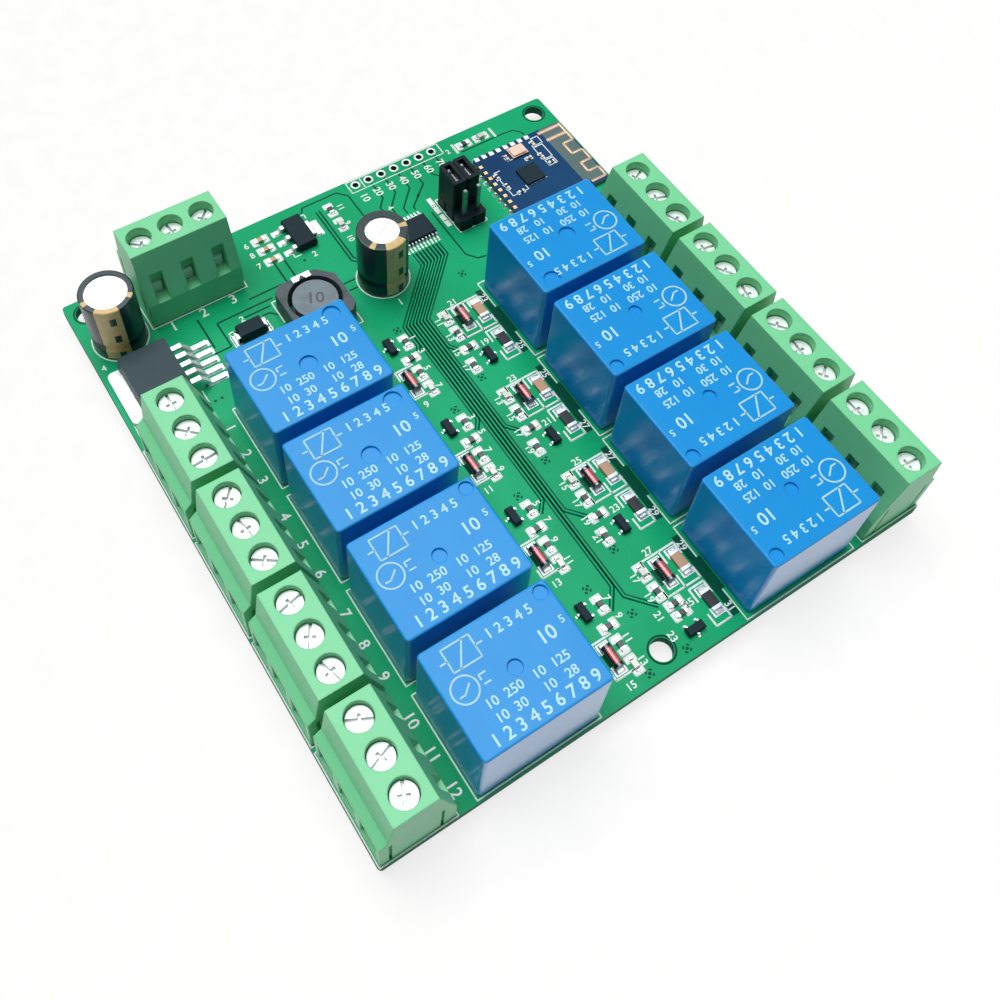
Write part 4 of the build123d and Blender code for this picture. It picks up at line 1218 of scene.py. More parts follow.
@dataclass
class Board:
    """Circuit board: copper that shows through the lacquer, rings at its holes and solder below."""

    track_pitch: float = 0.57
    track_width: float = 0.27
    gap_width: float = 0.75
    line_gap: float = 0.3
    first_track_x: float = 43.95
    first_pad_x: float = 52.97
    pad_pitch: float = 0.65
    pad_y: float = 77.9
    turn_y: float = 75.2
    leave: tuple[tuple[int, float, float, float], ...] = (
        (0, 62.0, 43.2, 60.9),
        (7, 59.5, 49.2, 57.8),
        (1, 46.0, 43.4, 44.6),
        (6, 43.0, 49.0, 41.0),
        (2, 30.0, 43.6, 28.3),
        (5, 27.0, 49.2, 24.2),
        (3, 14.0, 43.4, 11.2),
        (4, 12.0, 49.4, 8.3),
    )
    gap_routes: tuple[Route, ...] = (
        ((17.0, 84.2), (17.0, 78.0)),
        ((29.0, 82.0), (19.3, 82.0), (19.3, 77.0), (16.5, 77.0)),
        ((25.7, 83.6), (31.5, 83.6)),
        ((32.5, 88.0), (32.5, 82.0)),
        ((34.2, 88.0), (34.2, 83.0)),
        ((23.5, 80.8), (28.0, 80.8)),
        ((26.0, 79.7), (27.3, 79.6), (28.3, 78.5)),
        ((40.0, 78.5), (44.0, 78.5)),
        ((40.2, 76.9), (42.0, 76.8)),
        ((43.5, 94.0), (43.5, 82.0), (44.6, 80.9)),
        ((44.1, 94.0), (44.1, 82.4), (45.0, 81.5)),
        ((41.3, 95.0), (42.0, 96.0), (48.5, 96.0), (50.0, 94.4), (50.0, 88.0), (51.6, 86.4)),
        ((60.2, 84.0), (60.2, 73.5), (61.5, 71.8), (63.0, 71.5)),
        ((54.8, 94.8), (54.8, 91.0), (53.3, 89.3), (53.3, 85.9)),
        ((57.3, 94.8), (57.3, 91.0), (54.9, 88.4), (54.9, 85.9)),
        ((59.9, 94.8), (59.9, 90.6), (56.6, 87.2), (56.6, 85.9)),
        ((62.4, 94.8), (62.4, 90.2), (58.2, 86.6), (58.2, 85.9)),
        ((64.9, 94.8), (64.9, 91.2), (66.6, 89.4), (70.4, 89.4)),
        ((67.5, 94.8), (67.5, 92.3), (69.0, 91.1), (70.4, 91.1)),
        ((72.1, 93.0), (80.8, 93.0), (82.8, 92.8), (83.9, 91.5), (83.9, 90.7)),
    )
    reliefs: tuple[Point, ...] = (
        (42.6, 66.2), (42.5, 49.3), (42.4, 32.3), (42.4, 15.5), (45.6, 9.4), (49.2, 52.0),
        (49.2, 35.0), (49.2, 18.3), (57.5, 70.4), (42.5, 1.5), (48.9, 1.5),
    )
    mounting_holes: tuple[Point, ...] = ((2.95, 94.25), (88.4, 94.25), (45.9, 3.2))
    mounting_ring: tuple[float, float] = (1.95, 0.28)
    fields: tuple[tuple[float, float, float, float], ...] = (
        (51.5, 61.2, 53.9, 63.8),
        (57.25, 52.5, 58.3, 66.2),
        (58.3, 56.4, 59.0, 62.0),
        (38.4, 55.4, 40.4, 57.6),
    )
    relief_radius: float = 0.55
    relief_width: float = 0.24
    spoke_angle: float = 22.0
    vias: tuple[Point, ...] = (
        (11.7, 69.4), (12.8, 69.4), (13.9, 69.4), (48.4, 70.6), (60.2, 88.4), (37.0, 86.0),
    )
    via_width: float = 0.5
    program_ring: float = 1.75
    cone_share: float = 0.86
    cone_height: float = 1.0
    solder_nodes: tuple[tuple[str, float], ...] = (
        ("terminal_pins", 2.2),
        ("relay_pins", 1.9),
        ("relay_fixed_contacts", 2.0),
        ("capacitor_leads", 1.6),
        ("header_pins", 1.5),
    )

    def build(self) -> None:
        """Dress the board and lay its copper, rings and solder."""
        coat("circuit_board", Finish.BOARD)
        self.tracks()
        self.marks()
        self.rings()
        self.solder()

    def track_route(self, number: int, leave_y: float, end_x: float, end_y: float) -> list[Point]:
        """Route of one track: off a driver, up the middle, then slantwise to its pad.

        Args:
            number: The track's number, from the west.
            leave_y: Where it leaves the middle for its driver.
            end_x: Its end at the driver.
            end_y: Its end at the driver.

        Returns:
            The route.
        """
        x = self.first_track_x + self.track_pitch * number
        pad_x = self.first_pad_x + self.pad_pitch * number
        slant_y = self.turn_y - (pad_x - x)
        return [(end_x, end_y), (x, leave_y), (x, slant_y), (pad_x, self.turn_y), (pad_x, self.pad_y)]

    def tracks(self) -> None:
        """Tracks as bright strips on dark ones, and the other dark gaps between fields of copper."""
        routes = [self.track_route(*leave) for leave in self.leave]
        gaps = [
            strip_mesh(routes, self.gap_width, Rise.GAP.value, Finish.BARE_GAP),
            strip_mesh(self.gap_routes, self.line_gap, Rise.GAP.value, Finish.BARE_GAP),
        ]
        deliver(joined(gaps), "copper_gaps")
        tracks = strip_mesh(routes, self.track_width, Rise.TRACK.value, Finish.TRACK)
        deliver(tracks, "copper_tracks")

    def marks(self) -> None:
        """Spoked pads in the copper field, plain vias, rings round the holes and dark fields inside the boxes
        of each channel.
        """
        spoke, via, gap = self.spoke_angle, self.via_width, Rise.GAP.value
        arcs = [
            ring_route(x, y, self.relief_radius, quarter + spoke, quarter + 90 - spoke, 4)
            for x, y in self.reliefs
            for quarter in (0, 90, 180, 270)
        ]
        dots = [Stamp(x, y, 0, via, via, gap) for x, y in self.reliefs + self.vias]
        radius, width = self.mounting_ring
        rings = [ring_route(x, y, radius) for x, y in self.mounting_holes]
        fields = [
            Stamp((low_x + high_x) / 2, (low_y + high_y) / 2 - CHANNEL_PITCH * row, 0,
                  high_x - low_x, high_y - low_y, gap)
            for low_x, low_y, high_x, high_y in self.fields
            for row in CHANNEL_ROWS
        ]
        meshes = [
            strip_mesh(arcs, self.relief_width, gap, Finish.BARE_GAP),
            strip_mesh(rings, width, Rise.TRACK.value, Finish.BARE_GAP, bend=0),
            stamp_mesh(Shape.DISC, dots, Finish.BARE_GAP),
            stamp_mesh(Shape.BLOCK, fields, Finish.BARE_GAP),
        ]
        deliver(joined(meshes), "copper_marks")

    def rings(self) -> None:
        """Tinned rings round the bare programming holes, above and below the board."""
        first_x, y, pitch, count = PROGRAM_ROW
        levels = (0.0, -BOARD_THICKNESS - Rise.INK.value)
        copies = [
            Stamp(first_x + pitch * number, y, level, self.program_ring, self.program_ring, Rise.INK.value)
            for number in range(count)
            for level in levels
        ]
        deliver(stamp_mesh(Shape.RING, copies, Finish.TINNED), "programming_rings")

    def solder(self) -> None:
        """Pads and solder round every pin below the board."""
        below = -BOARD_THICKNESS
        cones, pads = [], []
        for node, width in self.solder_nodes:
            for island in islands(node):
                foot, cone = island.foot, width * self.cone_share
                cones.append(Stamp(foot.x, foot.y, below, cone, cone, self.cone_height))
                pads.append(Stamp(foot.x, foot.y, below - Rise.INK.value, width, width, Rise.INK.value))
        meshes = [
            stamp_mesh(Shape.HANGING_CONE, cones, Finish.SOLDER),
            stamp_mesh(Shape.DISC, pads, Finish.TINNED),
        ]
        deliver(joined(meshes), "solder_joints")


@dataclass
class Legend:
    """White print on the board: outlines of the parts, and plain numbers."""

    line: float = 0.2
    bold_line: float = 0.3
    header_labels: tuple[tuple[str, float, float], ...] = (("12", 85.0, 3.7), ("3", 81.3, 2.85))
    header_label_x: float = 61.25
    header_label_width: float = 0.85
    header_digit: float = 0.6
    outline_break: float = 2.8
    way_pitch: float = 5.08
    way_number_x: float = 12.5
    way_digit: float = 1.55
    channel_digit: float = 1.05
    channel_boxes: tuple[Route, ...] = (
        ((38.15, 57.8), (38.15, 59.55), (41.4, 59.55)),
        ((38.15, 55.4), (38.15, 53.9), (41.3, 53.9)),
        ((51.2, 63.4), (51.2, 65.55), (57.05, 65.55), (57.05, 63.6)),
        ((54.3, 65.5), (54.3, 63.4)),
        ((51.2, 61.4), (51.2, 59.4), (54.3, 59.4), (54.3, 61.4)),
        ((54.3, 59.4), (57.05, 59.4), (57.05, 61.2)),
        ((54.35, 56.6), (54.35, 58.75), (57.0, 58.75), (57.0, 56.8)),
        ((54.35, 54.6), (54.35, 52.6), (57.0, 52.6), (57.0, 54.4)),
    )
    channel_marks: tuple[tuple[int, float, float, float], ...] = (
        (1, 43.95, 63.9, -90), (3, 43.85, 61.0, -90), (5, 42.9, 57.9, -90), (7, 42.75, 54.3, -90),
        (9, 39.4, 52.3, 0), (11, 49.0, 64.1, -90), (13, 49.0, 60.8, -90), (15, 48.4, 57.9, -90),
        (17, 48.2, 54.7, -90), (19, 53.2, 57.2, 0), (21, 53.0, 66.3, 0), (23, 57.75, 64.5, -90),
        (25, 57.7, 53.9, -90),
    )
    hole_number_y: float = 92.6
    hole_digit: float = 1.3
    bars: tuple[float, ...] = (71.3, 71.55, 79.2, 79.45)
    bar_ends: tuple[float, float] = (93.0, 95.4)
    corner_bend: float = 0.05
    west_relay_margin: float = 0.25
    east_relay_margin: float = 0.6
    terminal_margin: float = 0.3
    ring_radius: float = 4.35
    routes: list[Route] = field(default_factory=list)
    bold_routes: list[Route] = field(default_factory=list)
    numbers: list[tuple[str, float, float, float, float]] = field(default_factory=list)

    def build(self) -> None:
        """Print the board."""
        self.outlines()
        self.supply()
        self.controls()
        self.channels()
        rise, bend = Rise.INK.value, self.corner_bend
        lines = [
            strip_mesh(self.routes, self.line, rise, Finish.LEGEND, bend=bend),
            strip_mesh(self.bold_routes, self.bold_line, rise, Finish.LEGEND, bend=bend),
        ]
        digits = [
            number_mesh(text, x, y, height, Finish.LEGEND, turn) for text, x, y, height, turn in self.numbers
        ]
        deliver(joined(lines), "legend_lines")
        deliver(joined(digits), "legend_numbers")
        self.header_marks()

    def header_marks(self) -> None:
        """White fields with dark numbers beside the header."""
        x, width = self.header_label_x, self.header_label_width
        fields = [Stamp(x, y, 0, width, length, Rise.INK.value) for _, y, length in self.header_labels]
        meshes = [stamp_mesh(Shape.BLOCK, fields, Finish.LEGEND)]
        meshes += [
            number_mesh(text, x, y, self.header_digit, Finish.BARE_GAP, -90, rise=Rise.DIGIT.value)
            for text, y, _ in self.header_labels
        ]
        deliver(joined(meshes), "legend_header_marks")

    def outlines(self) -> None:
        """Outlines round relays, terminals and capacitors, and numbers beside the terminals."""
        for number in WEST_RELAYS:
            cover = extent(f"relay_cover_{number}")
            self.routes.append(self.outline(cover, self.west_relay_margin))
        for number in EAST_RELAYS:
            cover = extent(f"relay_cover_{number}")
            corners = self.outline(cover, self.east_relay_margin)
            low_x, middle_y = corners[0][0], cover.middle.y
            ends = (low_x, middle_y - self.outline_break), (low_x, middle_y + self.outline_break)
            self.routes.append([ends[0], *corners[:-1], ends[1]])
        for number in TERMINALS:
            self.routes.append(self.outline(extent(f"terminal_block_{number}"), self.terminal_margin))
        for can in islands("capacitor_cans"):
            self.routes.append(ring_route(can.middle.x, can.middle.y, self.ring_radius))
        for row, number in enumerate(WEST_RELAYS):
            terminal = extent(f"terminal_block_{number}")
            for way in range(3):
                y = terminal.middle.y + self.way_pitch * (1 - way)
                self.numbers.append((f"{3 * row + way + 1}", self.way_number_x, y, self.way_digit, -90))

    def outline(self, box: Extent, margin: float) -> list[Point]:
        """Closed route round a box, kept on the board where it would leave it.

        Args:
            box: The box.
            margin: Distance from the box to the route.

        Returns:
            The route.
        """
        edge = self.line / 2
        low_x, low_y = max(box.low.x - margin, edge), max(box.low.y - margin, edge)
        high_x = min(box.high.x + margin, BOARD_WIDTH - edge)
        high_y = min(box.high.y + margin, BOARD_DEPTH - edge)
        return box_route(low_x, low_y, high_x, high_y)

    def supply(self) -> None:
        """Marks round the supply's parts in the north-west."""
        self.routes += [
            ((0.8, 71.9), (0.8, 69.6), (3.0, 69.6)),
            ((11.9, 72.0), (11.9, 69.7), (9.5, 69.7)),
            ((20.8, 79.3), (20.0, 79.3), (20.0, 75.7), (20.8, 75.7)),
            ((25.3, 79.3), (26.1, 79.3), (26.1, 75.7), (25.3, 75.7)),
            ((30.0, 81.2), (28.4, 81.2), (28.4, 76.7)),
            ((39.0, 72.6), (39.0, 70.5), (37.0, 70.5)),
            ((36.0, 88.3), (36.0, 87.3), (37.2, 87.3)),
            ((40.4, 94.6), (41.5, 94.6), (41.5, 93.6)),
        ]
        self.numbers += [
            ("1", 13.4, 84.9, 1.7, 0), ("2", 18.5, 84.9, 1.7, 0), ("3", 23.6, 84.9, 1.7, 0),
            ("6", 30.2, 93.3, 1.1, 0), ("8", 30.2, 91.1, 1.1, 0), ("7", 30.2, 88.6, 1.1, 0),
            ("2", 23.0, 80.7, 1.1, 0), ("1", 46.0, 70.7, 1.2, 0), ("2", 39.1, 86.3, 1.1, 0),
            ("4", 1.1, 83.3, 1.0, 0),
        ]

    def controls(self) -> None:
        """Marks round the programming holes, the header and the parts in the north-east."""
        self.routes += [
            box_route(50.9, 94.4, 69.2, 97.0),
            ((53.5, 94.4), (53.5, 97.0)),
            box_route(62.05, 77.8, 67.4, 85.9),
        ]
        low_y, high_y = self.bar_ends
        self.routes += [((x, low_y), (x, high_y)) for x in self.bars]
        first_x, _, pitch, count = PROGRAM_ROW
        self.numbers += [
            (f"{10 * (hole + 1)}", first_x + pitch * hole, self.hole_number_y, self.hole_digit, -90)
            for hole in range(count)
        ]
        self.numbers += [
            ("11", 47.6, 92.9, 1.0, -90), ("9", 46.9, 89.3, 1.0, -90), ("10", 45.7, 86.2, 1.0, -90),
            ("4", 54.7, 88.4, 1.0, -90), ("2", 70.0, 94.2, 1.0, 0),
        ]

    def channels(self) -> None:
        """Marks of the driver channels, repeated southwards."""
        for row in CHANNEL_ROWS:
            drop, digit = CHANNEL_PITCH * row, self.channel_digit
            self.bold_routes += [[(x, y - drop) for x, y in route] for route in self.channel_boxes]
            for first, x, y, turn in self.channel_marks:
                self.numbers.append((f"{first + 2 * row}", x, y - drop, digit, turn))


@dataclass
class Relays:
    """Eight sealed relays: blue covers with their print, and what is inside."""

    line: float = 0.26
    bend: float = 0.1
    lead: float = 1.0
    ring_steps: int = 28
    coil_box: tuple[float, float, float, float] = (-6.6, 3.2, -2.6, 6.4)
    ring: tuple[float, float, float] = (-6.6, 0.85, 1.75)
    lever: Route = ((-7.7, 0.3), (-6.9, 0.3), (-5.7, 1.3))
    contact_arms: tuple[Route, ...] = (((-4.3, 0.2), (-3.3, 0.2)), ((-3.3, 1.5), (-4.3, 1.5), (-4.3, 0.8)))
    rows: tuple[tuple[str, float, float, float], ...] = (
        ("1 2 3 4 5", 2.5, 5.1, 1.3),
        ("10", 5.5, 1.2, 1.8),
        ("5", 8.2, 1.9, 1.0),
        ("10  250   10  125", 0.45, -2.1, 1.2),
        ("10  30     10   28", 0.45, -4.1, 1.2),
        ("1 2 3 4 5 6 7 8 9", 0.45, -6.1, 1.6),
    )

    def build(self) -> None:
        """Dress the relays and print their covers."""
        for number in RELAYS:
            coat(f"relay_cover_{number}", Finish.RELAY_BLUE)
            coat(f"relay_armature_{number}", Finish.SOFT_IRON)
        coat("relay_bases", Finish.RELAY_BASE)
        coat("relay_windings", Finish.COPPER_WIRE)
        coat("relay_iron_frames", Finish.SOFT_IRON)
        coat("relay_fixed_contacts", Finish.CONTACT)
        coat("relay_pins", Finish.TINNED)
        self.prints()

    def prints(self) -> None:
        """Coil and contact symbols and plain numbers on each cover."""
        meshes = []
        for number in RELAYS:
            box = extent(f"relay_cover_{number}")
            turn = 0 if number in WEST_RELAYS else 180
            meshes += self.print_on(box.middle.x, box.middle.y, box.high.z, turn)
        deliver(joined(meshes), "relay_prints")

    def print_on(self, x: float, y: float, z: float, turn: float) -> list[bpy.types.Mesh]:
        """One cover's print.

        Args:
            x: Middle of the cover.
            y: Middle of the cover.
            z: Top of the cover.
            turn: Turn of the relay in degrees.

        Returns:
            Meshes of its lines and numbers.
        """
        low_x, low_y, high_x, high_y = self.coil_box
        middle_y = (low_y + high_y) / 2
        symbol = [
            box_route(low_x, low_y, high_x, high_y),
            ((low_x + self.lead, low_y), (high_x - self.lead, high_y)),
            ((low_x - self.lead, middle_y), (low_x, middle_y)),
            ((high_x, middle_y), (high_x + self.lead, middle_y)),
            self.lever,
            *self.contact_arms,
            ring_route(*self.ring, steps=self.ring_steps),
        ]
        rise, finish = Rise.PRINT.value, Finish.RELAY_PRINT
        routes = [turned(route, x, y, turn) for route in symbol]
        meshes = [strip_mesh(routes, self.line, rise, finish, z, self.bend)]
        for text, u, v, height in self.rows:
            [(text_x, text_y)] = turned([(u, v)], x, y, turn)
            meshes.append(number_mesh(text, text_x, text_y, height, finish, turn, z, rise))
        return meshes


@dataclass
class Terminals:
    """Nine screw terminals."""

    def build(self) -> None:
        """Dress the terminals."""
        for number in TERMINALS:
            coat(f"terminal_block_{number}", Finish.TERMINAL_GREEN)
        coat("terminal_screws", Finish.SCREW)
        coat("terminal_clamps", Finish.CLAMP)
        coat("terminal_pins", Finish.TINNED)


@dataclass
class Capacitors:
    """Two electrolytic capacitors: cans with a scored top, and striped sleeves."""

    headings: tuple[float, float] = (-112.0, -84.0)
    rim_marks: tuple[float, float] = (72.0, -60.0)
    score_half: float = 2.1
    score_turns: tuple[float, float] = (12.0, 30.0)
    score_width: float = 0.12

    def build(self) -> None:
        """Dress the capacitors."""
        cans = islands("capacitor_cans")
        axes = tuple((can.middle.x, can.middle.y) for can in cans)
        sleeve = Sleeve(
            "capacitor_sleeve",
            body=paint(8, 44, 48),
            stripe=paint(228, 202, 144),
            stripe_shade=paint(196, 164, 106),
            bar=paint(30, 60, 62),
            axes=axes,
            headings=self.headings,
            marks=self.rim_marks,
        )
        coat("capacitor_sleeves", sleeve.make())
        coat("capacitor_cans", Finish.CAN)
        coat("capacitor_leads", Finish.TINNED)
        scores = [
            turned(((-self.score_half, 0), (self.score_half, 0)), can.middle.x, can.middle.y, turn)
            for can, turn in zip(cans, self.score_turns)
        ]
        top = cans[0].high.z
        lines = strip_mesh(scores, self.score_width, Rise.MARK.value, Finish.SCORE, top)
        deliver(lines, "capacitor_scores")


@dataclass
class Inductor:
    """Power inductor: ground ferrite, copper inside and tinned clips."""

    digit: float = 2.0
    number_turn: float = -25.0

    def build(self) -> None:
        """Dress the inductor and print its plain number."""
        coat("inductor_shield", Finish.FERRITE_RING)
        coat("inductor_core", Finish.FERRITE_DRUM)
        coat("inductor_winding", Finish.COPPER_WIRE)
        coat("inductor_clips", Finish.TINNED)
        core = extent("inductor_core")
        x, y, top = core.middle.x, core.middle.y, core.high.z
        turn, rise = self.number_turn, Rise.MARK.value
        mark = number_mesh("10", x, y, self.digit, Finish.CHIP_BLACK, turn, top, rise)
        deliver(mark, "inductor_number")


@dataclass
class PowerParts:
    """Both regulators and the power diode, with pads under their leads."""

    lead_pads: tuple[tuple[str, float, float], ...] = (
        ("regulator_lead_frame", 3.6, 1.15),
        ("small_regulator_lead_frame", 1.9, 1.1),
    )
    pad_margin: float = 0.35
    diode_pad: tuple[float, float] = (2.4, 2.1)
    diode_pad_inset: float = 0.6
    diode_half_body: float = 2.17
    diode_lead_reach: float = 2.5

    def build(self) -> None:
        """Dress the parts and lay their pads."""
        coat("regulator_body", Finish.PACKAGE)
        coat("regulator_lead_frame", Finish.TINNED)
        coat("small_regulator_body", Finish.SMALL_PACKAGE)
        coat("small_regulator_lead_frame", Finish.TINNED)
        recast(
            "power_diode", "power_diode_dressed", (Finish.SMALL_PACKAGE, Finish.TINNED),
            self.diode_face,
        )
        pads = []
        for node, length, width in self.lead_pads:
            for lead in islands(node):
                wide = max(width, lead.size.y + self.pad_margin)
                pads.append(Stamp(lead.foot.x, lead.foot.y, 0, length, wide, Rise.INK.value))
        diode = extent("power_diode")
        for side in (-1, 1):
            x = diode.middle.x + side * (diode.size.x / 2 - self.diode_pad_inset)
            pads.append(Stamp(x, diode.middle.y, 0, *self.diode_pad, Rise.INK.value))
        deliver(stamp_mesh(Shape.BLOCK, pads, Finish.SOLDER), "power_pads")

    def diode_face(self, offset: Vector, island: Island) -> int:
        """Metal for the wrapped leads, plastic for the body."""
        is_lead = island.size.x < self.diode_lead_reach or abs(offset.x) > self.diode_half_body
        return 1 if is_lead else 0


@dataclass
class Controller:
    """Controller chip, its pads and the dot at its first lead."""

    pad_length: float = 1.5
    pad_width: float = 0.3
    dot_width: float = 0.7
    dot_inset: float = 0.9

    def build(self) -> None:
        """Dress the chip."""
        coat("controller_body", Finish.SMALL_PACKAGE)
        coat("controller_leads", Finish.TINNED)
        pads = [
            Stamp(lead.foot.x, lead.foot.y, 0, self.pad_width, self.pad_length, Rise.INK.value)
            for lead in islands("controller_leads")
        ]
        deliver(stamp_mesh(Shape.BLOCK, pads, Finish.SOLDER), "controller_pads")
        body = extent("controller_body")
        x, y = body.low.x + self.dot_inset, body.low.y + self.dot_inset
        dot = Stamp(x, y, body.high.z, self.dot_width, self.dot_width, Rise.MARK.value)
        deliver(stamp_mesh(Shape.DISC, [dot], Finish.PACKAGE_MARK), "controller_dot")


@dataclass
class JumperHeader:
    """Six-pin header with two jumper caps."""

    shroud_wall: float = 2.3

    def build(self) -> None:
        """Dress the header and its caps."""
        coat("header_base", Finish.HEADER)
        coat("header_pins", Finish.PIN_STEEL)
        for number in (1, 2):
            recast(
                f"jumper_cap_{number}", f"jumper_cap_{number}_dressed",
                (Finish.HEADER, Finish.TINNED), self.cap_face, f"jumper_{number}",
            )

    def cap_face(self, offset: Vector, island: Island) -> int:
        """Plastic for the shroud, metal for the clip inside it."""
        return 0 if min(island.size.x, island.size.y) > self.shroud_wall else 1


@dataclass
class Radio:
    """Radio board: half holes along two edges, printed aerial, chip and crystal."""

    strip: float = 0.5
    feed_strip: float = 0.72
    bend: float = 0.2
    pitch: float = 1.5
    first_north_x: float = 72.9
    north_count: int = 8
    first_west_y: float = 75.65
    west_count: int = 9
    bare: tuple[float, float, float, float] = (86.2, 75.4, 90.4, 89.9)
    feeds: tuple[Route, ...] = (
        ((85.6, 89.1), (90.1, 89.1)),
        ((86.1, 87.0), (90.1, 87.0)),
    )
    aerial: Route = (
        (90.35, 89.46), (90.35, 84.95), (88.2, 84.95), (88.2, 82.2), (90.35, 82.2), (90.35, 79.65),
        (88.2, 79.65), (88.2, 77.4), (90.35, 77.4), (90.35, 75.15), (87.3, 75.15),
    )
    legend: tuple[Route, ...] = (
        ((77.35, 84.0), (77.35, 80.0), (81.2, 80.0)),
        ((74.9, 85.3), (73.7, 85.3), (73.7, 79.35), (76.9, 79.35), (76.9, 80.3)),
        ((77.2, 88.0), (77.2, 86.4), (78.5, 86.4)),
        box_route(83.0, 83.6, 84.9, 86.8),
        box_route(83.8, 87.1, 85.2, 88.8),
        box_route(83.1, 81.9, 84.8, 83.3),
    )
    legend_line: float = 0.18
    corner_bend: float = 0.05
    lid_foot: float = 0.05
    north_pad: tuple[float, float, float] = (-0.5, 0.85, 0.8)
    north_joint: tuple[float, float, float] = (0.2, 0.7, 0.5)
    west_pad: tuple[float, float, float] = (0.6, 0.65, 0.65)
    west_joint: tuple[float, float, float] = (-0.35, 0.9, 0.8)
    joint_height: float = 0.5
    joint_top: float = 0.35

    def build(self) -> None:
        """Dress the radio board."""
        coat("radio_board", Finish.RADIO_BLUE)
        coat("radio_chip", Finish.SMALL_PACKAGE)
        metals = (Finish.CRYSTAL_BASE, Finish.CRYSTAL)
        recast("radio_crystal", "radio_crystal_dressed", metals, self.lid)
        board = extent("radio_board")
        top = board.high.z
        low_x, low_y, high_x, high_y = self.bare
        x, y = (low_x + high_x) / 2, (low_y + high_y) / 2
        bare = Stamp(x, y, top, high_x - low_x, high_y - low_y, Rise.GAP.value)
        deliver(stamp_mesh(Shape.BLOCK, [bare], Finish.RADIO_BARE), "radio_bare_field")
        aerial = [
            strip_mesh([self.aerial], self.strip, Rise.TRACK.value, Finish.AERIAL, top, self.bend),
            strip_mesh(self.feeds, self.feed_strip, Rise.PRINT.value, Finish.AERIAL, top),
        ]
        deliver(joined(aerial), "radio_aerial")
        ink, bend = Rise.INK.value, self.corner_bend
        legend = strip_mesh(self.legend, self.legend_line, ink, Finish.LEGEND, top, bend)
        deliver(legend, "radio_legend")
        self.half_holes(board)

    def lid(self, offset: Vector, island: Island) -> int:
        """Metal above the crystal's ceramic base."""
        return 1 if offset.z > self.lid_foot else 0

    def half_holes(self, board: Extent) -> None:
        """Pads at the half holes, and their joints on the main board.

        Args:
            board: Box of the radio board.
        """
        top = board.high.z
        tinned, gilt, joints = [], [], []
        for number in range(self.north_count):
            x = self.first_north_x + self.pitch * number
            step, *size = self.north_pad
            tinned.append(Stamp(x, board.high.y + step, top, *size, Rise.TRACK.value))
            step, *size = self.north_joint
            joints.append(Stamp(x, board.high.y + step, 0, *size, Rise.INK.value))
        for number in range(self.west_count):
            y = self.first_west_y + self.pitch * number
            step, *size = self.west_pad
            gilt.append(Stamp(board.low.x + step, y, top, *size, Rise.TRACK.value))
            step, *size = self.west_joint
            joints.append(Stamp(board.low.x + step, y, 0, *size, Rise.INK.value))
        pads = [stamp_mesh(Shape.BLOCK, tinned, Finish.TINNED), stamp_mesh(Shape.BLOCK, gilt, Finish.GILT)]
        deliver(joined(pads), "radio_pads")
        solder = [replace(joint, height=self.joint_height) for joint in joints]
        meshes = [
            stamp_mesh(Shape.BLOCK, joints, Finish.TINNED),
            stamp_mesh(Shape.SKIRT, solder, Finish.SOLDER, self.joint_top),
        ]
        deliver(joined(meshes), "radio_joints")


